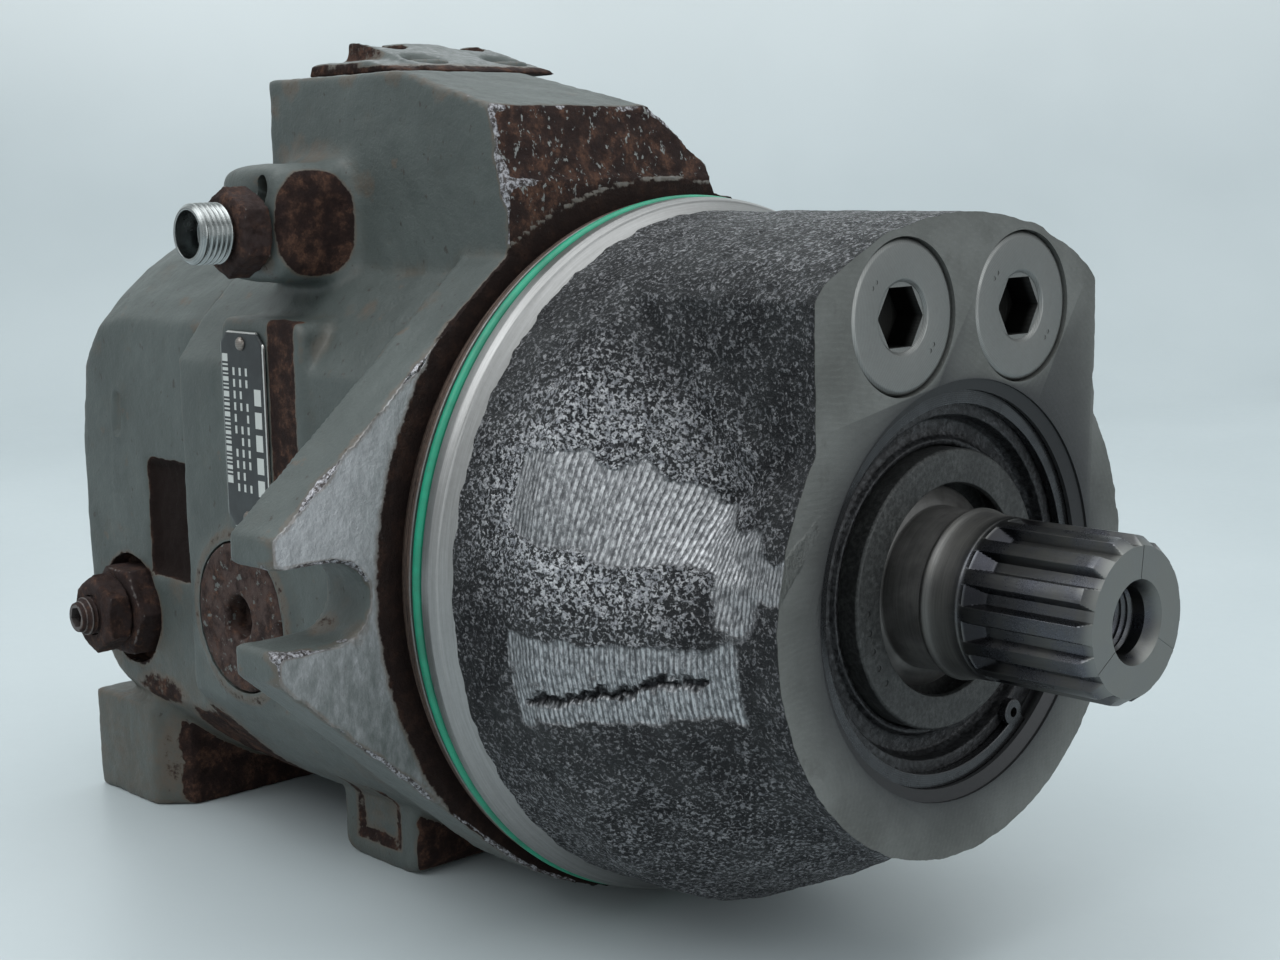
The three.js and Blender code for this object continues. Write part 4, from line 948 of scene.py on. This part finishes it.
def cover_casting():
    obj = copy_node("top_cover", "cover_casting")
    boolean(obj, "UNION", *[drum("fill", 7.2, 130.4, 133, "z", at, 32) for at in COVER_SCREWS])
    remesh(obj, 0.8)
    relax(obj, 14, lambda c: 0.15 + 0.75 * smoothstep(131, 134, c[:, 2]), ROUND_CORNERS)
    co = points(obj)
    push(obj, noise_at(co, 8, 2, 14) * 0.22 + noise_at(co, 2.5, 2, 15) * 0.08)
    cutters = [drum("hole", 4.3, 120, 150, "z", at, 32) for at in COVER_SCREWS]
    cutters += [drum("seat", 5.1, 131.5, 150, "z", at, 48) for at in COVER_SCREWS]
    boolean(obj, "DIFFERENCE", *cutters)
    n = normals(obj)
    x, y, z = points(obj).T
    edge = convexity(obj)
    left = smoothstep(0.25, 0.7, -n[:, 1]) * smoothstep(-172, -184, x) * 0.6
    skirt = smoothstep(134.5, 131.5, z) * 0.7
    seats = [smoothstep(6.6, 5.3, np.hypot(x - a, y - b)) * 0.12 for a, b in COVER_SCREWS]
    store(
        obj, rust=np.clip(np.maximum.reduce([left, skirt, *seats]), 0, 1), edge=np.clip(edge, 0, 1) * 0.5,
        # concave corners get grime that is part dirt, part painted shade
        # upward faces turn partly to bright metal: part wear, part painted light from above
        bare=0.46 * smoothstep(0.6, 0.9, n[:, 2]), soot=np.clip(-edge, 0, 1),
    )
    return piece(obj, "housing", PAINT, ["top_cover"], angle=50)


# ---------------------------------------------------------------- fittings and fasteners

BOX_FACES = [(0, 1, 3, 2), (4, 5, 7, 6), (0, 1, 5, 4), (2, 3, 7, 6), (0, 2, 6, 4), (1, 3, 7, 5)]


def worn(obj):
    store(obj, edge=np.clip(convexity(obj, 1), 0, 1))
    return obj


def rusted(obj, voxel, size=1.6, depth=0.12, seed=20):
    """Gives a fastener its rusted skin and worn edges."""
    remesh(obj, voxel * (1))
    relax(obj, 1)
    push(obj, noise_at(points(obj), size, 3, seed) * depth - depth * 0.4)
    return worn(obj)


def screw_head(kind, part, number, look, axis, at, seat, out, head, shank, flats):
    """A cap screw with a hexagon socket. out is +1 or -1, the way that the head points.

    head is its radius and height, and shank is its radius and where it ends.
    """
    top = seat + out * head[1]
    profile = [(0, top), (head[0] - 0.6, top), (head[0], top - out * 0.7), (head[0], seat)]
    profile += [(shank[0], seat), shank, (0, shank[1])]
    obj = spun(f"{kind}_{part}_{number}", eased(profile, 0.3), axis, at, 48)
    socket = prism("socket", hexagon(flats, 0.3), axis, [(top + out, 1), (top - out * head[1] * 0.6, 1)], at)
    boolean(obj, "DIFFERENCE", socket)
    return piece(rusted(obj, 0.5), "housing", look, [f"{kind}_{number}"])


def nut(name, flats, low, high, at, bore, turn, chamfer=1.2):
    """A hexagon nut with its corners turned off at both ends, as a closed solid along Y."""
    corner = flats / math.sqrt(3)
    obj = prism(name, hexagon(flats, turn), "y", [(low, 1), (high, 1)], at)
    inner, outer = corner - chamfer * 1.7, corner + 0.3
    cone = [(0, low), (inner, low), (outer, low + chamfer), (outer, high - chamfer), (inner, high), (0, high)]
    boolean(obj, "INTERSECT", spun("turned", cone, "y", at, 64))
    if bore:
        boolean(obj, "DIFFERENCE", drum("bore", bore, low - 2, high + 2, "y", at, 48))
    return obj


def threaded(name, radius, low, high, at, pitch, end_chamfer, ridge=0.75):
    """A rod along Y with a thread's ridges, from low to high."""
    root, profile = radius - ridge, [(0, low), (radius - end_chamfer, low)]
    count = int((high - low - end_chamfer) / pitch)
    for i in range(count):
        start = low + end_chamfer + i * pitch
        profile += [(root, start + 0.02), (radius, start + pitch * 0.42), (radius, start + pitch * 0.58)]
    profile += [(root, low + end_chamfer + count * pitch), (root, high), (0, high)]
    return spun(name, profile, "y", at, 64)


def adjuster():
    sleeve = nut("adjuster_sleeve_hex", 27, -77.5, -66.3, ADJUSTER, 6.35, 0)
    piece(rusted(sleeve, 0.55, seed=21), "housing", RUSTED, ["adjuster_sleeve"])
    lock = nut("lock_nut_hex", 22, -86.5, -77.8, ADJUSTER, 6.3, math.pi / 6, 1.6)
    piece(rusted(lock, 0.45, seed=22), "housing", RUSTED, ["lock_nut"])
    stud = threaded("adjusting_stud", 6, -90.6, -56, ADJUSTER, 1.5, 1.1)
    tip = [(0, -91.7), (4.6, -91.7), (4.9, -90.2), (0, -90.2)]
    boolean(stud, "UNION", spun("tip", eased(tip, 0.3), "y", ADJUSTER, 48))
    boolean(stud, "DIFFERENCE", prism("socket", hexagon(6, 0.2), "y", [(-95, 1), (-85.6, 1)], ADJUSTER))
    piece(worn(stud), "adjusting_screw", RUSTED, ["adjusting_screw"])


def fitting():
    body = nut("fitting_hex", 22, -90, -80.3, FITTING, 0, math.pi / 2, 1.6)
    boolean(body, "UNION", drum("shank", 8, -81.3, -64, "y", FITTING, 48))
    rusted(body, 0.42, 2.2, 0.3, 23)
    boolean(body, "DIFFERENCE", drum("bore", 5.8, -95, -63, "y", FITTING, 48))
    piece(body, "housing", RUSTED, ["fitting_body"])
    mouth, pitch = -100.6, 1.5
    outline = [(6.5, mouth), (7.3, mouth), (8.3, mouth + 1.1), (8.3, mouth + 1.6)]
    for i in range(5):
        start = mouth + 1.7 + i * pitch
        outline += [(7.55, start + 0.4), (7.55, start + 0.6), (8.4, start + 1.2), (8.4, start + 1.45)]
    outline += [(7.3, -90.9), (7.3, -90.3), (5.5, -90.3), (5.5, -84), (4, -84), (4, -93), (6.4, -93.6)]
    stub = spun("fitting_tube", eased(outline, 0.14, True), "y", FITTING, 96, True)
    piece(stub, "housing", ZINC, ["fitting_stub"])


def side_plug():
    profile = [(0, -82.1), (20.9, -82.1), (22, -81.2), (22, -71.3), (0, -71.3)]
    obj = spun("side_plug_disc", eased(profile, 0.5), "y", SIDE_PLUG, 96)
    boolean(obj, "DIFFERENCE", prism("socket", hexagon(12, 0.5), "y", [(-84, 1), (-75, 1)], SIDE_PLUG))
    lead = [(0, -83), (8.2, -83), (6.2, -81.2), (0, -81.2)]
    boolean(obj, "DIFFERENCE", spun("lead", lead, "y", SIDE_PLUG, 48))
    piece(rusted(obj, 0.6, 2.6, 0.16, 24), "housing", RUSTED_PLUG, ["side_plug"])


def servo_plugs():
    profile = [(0, -11.7), (18.3, -11.7), (18.3, -1.7), (17.9, -0.85), (17.0, -0.4), (8.9, -0.4)]
    profile += [(8.15, -1.15), (8.15, -1.3), (0, -1.3)]
    dots = [(-9.5, 8.5), (-10.8, 7.2), (9.8, -8.4), (11, -7.0)]
    for side, at in zip(("left", "right"), PLUG_PLACES):
        obj = spun(f"servo_plug_disc_{side}", eased(profile, 0.25), "x", at, 128)
        boolean(obj, "DIFFERENCE", prism("socket", hexagon(14), "x", [(-9, 1), (2, 1)], at))
        boolean(obj, "DIFFERENCE", spun("drill", [(0, -10.8), (6.4, -8.9), (0, -8.9)], "x", at, 48))
        marks = [drum("mark", 0.55, -0.55, 1, at=(at[0] + a, at[1] + b), sides=12) for a, b in dots]
        boolean(obj, "DIFFERENCE", *marks)
        piece(obj, "housing", PLUG_STEEL, [f"servo_plug_{side}"])


def seal_ring():
    angles = [TAU * i / 20 for i in range(20)]
    section = [(94.1 + 1.5 * math.cos(a), -93.6 + 1.5 * math.sin(a)) for a in angles]
    obj = spun("pilot_o_ring", section, sides=256, ring=True)
    piece(obj, "housing", SEAL_GREEN, ["pilot_seal_ring"])


def circlip():
    section = [(45.5, -6.2), (51.2, -6.2), (51.2, -3.8), (45.5, -3.8)]
    obj = spun("retaining_clip", eased(section, 0.35, True), sides=160, ring=True)
    mouth = -0.75  # the angle of the gap, with a lug on each side of it
    c, s = math.cos(mouth), math.sin(mouth)
    corners = [(x, r * c - w * s, r * s + w * c) for x in (-10, 2) for r in (40, 56) for w in (-7.6, 7.6)]
    boolean(obj, "DIFFERENCE", solid("mouth", corners, BOX_FACES))
    for side in (-1, 1):
        at = (math.cos(mouth + side * 0.2) * 44.2, math.sin(mouth + side * 0.2) * 44.2)
        lug = [(0, -6.2), (3.4, -6.2), (3.4, -3.8), (0, -3.8)]
        boolean(obj, "UNION", spun("lug", eased(lug, 0.3), at=at, sides=48))
        boolean(obj, "DIFFERENCE", drum("eye", 1.3, -8, 0, at=at, sides=24))
    piece(obj, "housing", DARK_STEEL, ["circlip"])


def seals():
    carrier = [
        (42.6, -6.5), (48.7, -6.5), (48.7, -22), (28, -22), (28, -18), (35, -18), (35, -9.4), (36.4, -9.0),
        (37.2, -10.6), (38.5, -11.0), (41.2, -11.0), (42.2, -9.5),
    ]
    ring = spun("seal_carrier_ring", eased(carrier, 0.5, True), sides=160, ring=True)
    piece(ring, "housing", CARRIER, ["seal_carrier"])
    disc = [
        (26.4, -4), (34.2, -4), (34.7, -4.6), (34.7, -17.6), (25.3, -17.6), (25.3, -15.4), (31, -14),
        (31, -6), (27.2, -6), (26, -5.2),
    ]
    obj = spun("shaft_seal_disc", eased(disc, 0.25, True), sides=160, ring=True)
    for k in range(5):
        t = math.radians(182 + k * 9)
        at = (30.6 * math.cos(t), 30.6 * math.sin(t))
        boolean(obj, "DIFFERENCE", drum("mark", 0.8, -4.25, 0, at=at, sides=16))
    piece(obj, "housing", SEAL_DISC, ["shaft_seal"])


# ---------------------------------------------------------------- shaft

TEETH, TIP_R, ROOT_R, SHAFT_END = 14, 19.6, 17.4, 48.9


def tooth_radius(share, x):
    """The spline's radius. share is the place within a tooth's pitch, from -0.5 to 0.5."""
    flank = min(max((abs(share) - 0.2) / 0.14, 0), 1)
    r = TIP_R + (ROOT_R - TIP_R) * flank
    r = max(r, TIP_R - max(x - 14.4, 0) * 0.42)
    return min(r, TIP_R - max(x - (SHAFT_END - 2.9), 0) * 0.72)


def spline():
    half = [0.1, 0.19, 0.205, 0.23, 0.26, 0.29, 0.32, 0.34, 0.36, 0.42]
    shares = [-0.5] + [-s for s in reversed(half)] + [0] + half
    stations = [12.5, 14.4, *np.linspace(14.8, 20, 12), 24, 30, 38, 44, *np.linspace(45.6, SHAFT_END, 7)]
    verts = []
    for x in stations:
        for i in range(TEETH):
            for s in shares:
                t, r = TAU * (i + s) / TEETH, tooth_radius(s, x)
                verts.append((x, r * math.cos(t), r * math.sin(t)))
    return solid("teeth", verts, tube_faces(TEETH * len(shares), len(stations)))


def shaft():
    profile = [
        (0, -255), (16.4, -255), (17, -254.4), (17, -236), (15, -236), (15, -112), (20, -110), (20, -62),
        (25, -60), (25, -11), (20, -9), (20, 2.5), (20.8, 2.9), (21, 3.6), (20.8, 4.4), (20.35, 5.6),
        (20.05, 7.4), (19.85, 10), (19.75, 13), (19.3, 14), (17.2, 15.5), (0, 15.5),
    ]
    obj = spun("output_shaft", eased(profile, 0.7), sides=128)
    boolean(obj, "UNION", spline())
    hub = [
        (r * math.cos(TAU * (i + s) / 8), r * math.sin(TAU * (i + s) / 8))
        for i in range(8) for r, s in ((16, -0.34), (18, -0.2), (18, 0.2), (16, 0.34))
    ]
    boolean(obj, "UNION", prism("hub", hub, "x", [(-205, 1), (-170, 1)]))
    bore = [(0, SHAFT_END + 1), (9.9, SHAFT_END + 1), (9.9, SHAFT_END), (8.1, SHAFT_END - 3.4)]
    for i in range(14):
        x = SHAFT_END - 6.5 - i * 1.75
        bore += [(8.1, x), (8.75, x - 0.7), (8.1, x - 1.4)]
    bore += [(8.1, SHAFT_END - 32), (0, SHAFT_END - 36)]
    boolean(obj, "DIFFERENCE", spun("bore", bore, sides=64))
    for t in (1.45, 3.7, 5.75):
        turn = Matrix.Rotation(t, 3, "X")
        box = [(x, y, z) for x in (SHAFT_END - 0.12, SHAFT_END + 1) for y in (9.6, 18) for z in (-0.12, 0.12)]
        boolean(obj, "DIFFERENCE", solid("scratch", [tuple(turn @ Vector(c)) for c in box], BOX_FACES))
    piece(obj, "rotor", SPLINE, ["shaft"], angle=22)


# ---------------------------------------------------------------- name plate

def printing():
    """Generic print, as (x, x, z, z) boxes: a bar code, three lines of short strokes and five blocks."""
    marks, top = [], 53.5
    widths = [
        2.2, 0.5, 0.9, 0.4, 1.3, 0.4, 0.6, 1.6, 0.4, 0.9, 0.5, 1.4, 0.4, 0.7, 0.4, 1.1, 0.5, 0.9, 1.5, 0.4,
        0.7, 0.4, 1.2, 0.5, 2.2,
    ]
    for width in widths:
        marks.append((-198, -195.2, top - width, top))
        top -= width + 0.62
    for column, low in enumerate([-192.8, -189.6, -186.4]):
        for i in range(11):
            if (i * 5 + column * 3) % 7 != 2:
                marks.append((low, low + 1, 47.6 - i * 3.3, 49.8 - i * 3.3))
    return marks + [(-182.2, -178.8, 14 + i * 6.4, 18.6 + i * 6.4) for i in range(5)]


def name_plate():
    centre, (w, h), clip = (-188, 32), (11, 28), 3.5
    corners = [(clip - w, -h), (w - clip, -h), (w, clip - h), (w, h - clip)]
    outline = corners + [(-a, -b) for a, b in corners]
    obj = prism("name_plate_sheet", outline, "y", [(-82.7, 0.985), (-82.45, 1), (-81.8, 1)], centre)
    remesh(obj, 0.5)
    x, _, z = points(obj).T
    rim = np.minimum(w - np.abs(x - centre[0]), h - np.abs(z - centre[1]))
    store(obj, edge=smoothstep(0.9, 0.2, rim))
    piece(obj, "housing", LABEL, ["name_plate"])
    verts, faces = [], []
    for x0, x1, z0, z1 in printing():
        verts += [(a, y, b) for y in (-82.76, -82.6) for a, b in ((x0, z0), (x1, z0), (x1, z1), (x0, z1))]
        faces += [tuple(len(verts) - 8 + k for k in face) for face in tube_faces(4, 2)]
    piece(solid("name_plate_print", verts, faces), "housing", PRINT)
    profile = [(0, -84.0), (0.9, -83.9), (1.6, -83.5), (1.95, -83.0), (1.95, -82.75), (1.2, -82.75)]
    profile += [(1.2, -78), (0, -78)]
    for i, at in enumerate(RIVETS, 1):
        rivet = spun(f"rivet_{i}", profile, "y", at, 32)
        piece(rivet, "housing", RIVET, [f"name_plate_rivet_{i}"])


# ---------------------------------------------------------------- everything together

nose_casting()
pilot_land()
housing_casting()
plate_casting()
cover_casting()
for i, at in enumerate(COVER_SCREWS, 1):
    screw_head("cover_screw", "head", i, PAINT, "z", at, 131.8, 1, (6.5, 2.5), (4, 111.8), 5)
for i, at in enumerate(PLATE_BOLTS, 1):
    screw_head("plate_bolt", "cap", i, BOLT_STEEL, "x", at, -284.3, -1, (9, 9.7), (6, -208), 10)
adjuster()
fitting()
side_plug()
servo_plugs()
seal_ring()
circlip()
seals()
shaft()
name_plate()

# the pieces inside keep their CAD shapes and get their surfaces
INNER_LOOKS = {
    "bearing_steel": GROUND_STEEL, "ground_steel": GROUND_STEEL, "bronze": BRONZE, "block": BLOCK_STEEL,
}
for subpart in frame["record"]["subparts"]:
    if subpart["material_slot"] in INNER_LOOKS:
        materials = frame["nodes"][subpart["node"]].data.materials
        materials.clear()
        materials.append(INNER_LOOKS[subpart["material_slot"]])


# ---------------------------------------------------------------- floor, light and camera

def stage():
    """A pale floor that curves up into a pale wall."""
    rows = [(-2.5, 0.0), (1.1, 0.0)]  # distance away from the camera, and height, in metres
    rows += [(1.1 + 0.5 * math.sin(t), 0.5 - 0.5 * math.cos(t)) for t in np.linspace(0.15, math.pi / 2, 12)]
    rows += [(1.6, 3.0)]
    away = Vector((-0.725, 0.671, 0)).normalized()
    across = Vector((away.y, -away.x, 0))
    verts = [tuple(away * d + across * s + Vector((0, 0, h))) for d, h in rows for s in (-3.5, 3.5)]
    faces = [(2 * i, 2 * i + 1, 2 * i + 3, 2 * i + 2) for i in range(len(rows) - 1)]
    mesh = bpy.data.meshes.new("floor")
    mesh.from_pydata(verts, [], faces)
    floor = add_object("floor", mesh)
    shade(floor, 60)
    mesh.materials.append(floor_paint())


def area_light(name, place, size, power):
    data = bpy.data.lights.new(name, "AREA")
    data.shape = "RECTANGLE"
    data.size, data.size_y = size
    data.energy = power
    data.color = (0.97, 0.99, 1.0)
    lamp = add_object(name, data)
    lamp.location = place
    aim = Vector((0.0, 0.0, 0.1)) - Vector(place)
    lamp.rotation_euler = aim.to_track_quat("-Z", "Y").to_euler()


def camera():
    """The camera that was fitted to the photo."""
    data = bpy.data.cameras.new("camera")
    data.sensor_width = 36
    data.lens = 56.46
    data.clip_start = 0.01
    cam = add_object("camera", data)
    right, up, back = (0.6813, 0.7317, -0.0181), (-0.1005, 0.1180, 0.9879), (0.7250, -0.6712, 0.1540)
    turn = Matrix((right, up, back)).transposed().to_4x4()
    cam.matrix_world = Matrix.Translation((0.42568, -0.38086, 0.20116)) @ turn
    bpy.context.scene.camera = cam


def surroundings():
    world = bpy.data.worlds.new("world")
    world.use_nodes = True
    background = world.node_tree.nodes["Background"].inputs
    background["Color"].default_value = (0.82, 0.87, 0.885, 1)
    background["Strength"].default_value = 0.76
    bpy.context.scene.world = world
    bpy.context.scene.view_settings.view_transform = "Standard"


stage()
camera()
area_light("window", (-0.2, -1.2, 1.6), (1.6, 1.2), 14)
area_light("ceiling", (0.1, 0.1, 1.9), (2.2, 2.2), 22)
area_light("fill", (1.4, 0.1, 0.5), (1.2, 1.0), 6.5)
surroundings()
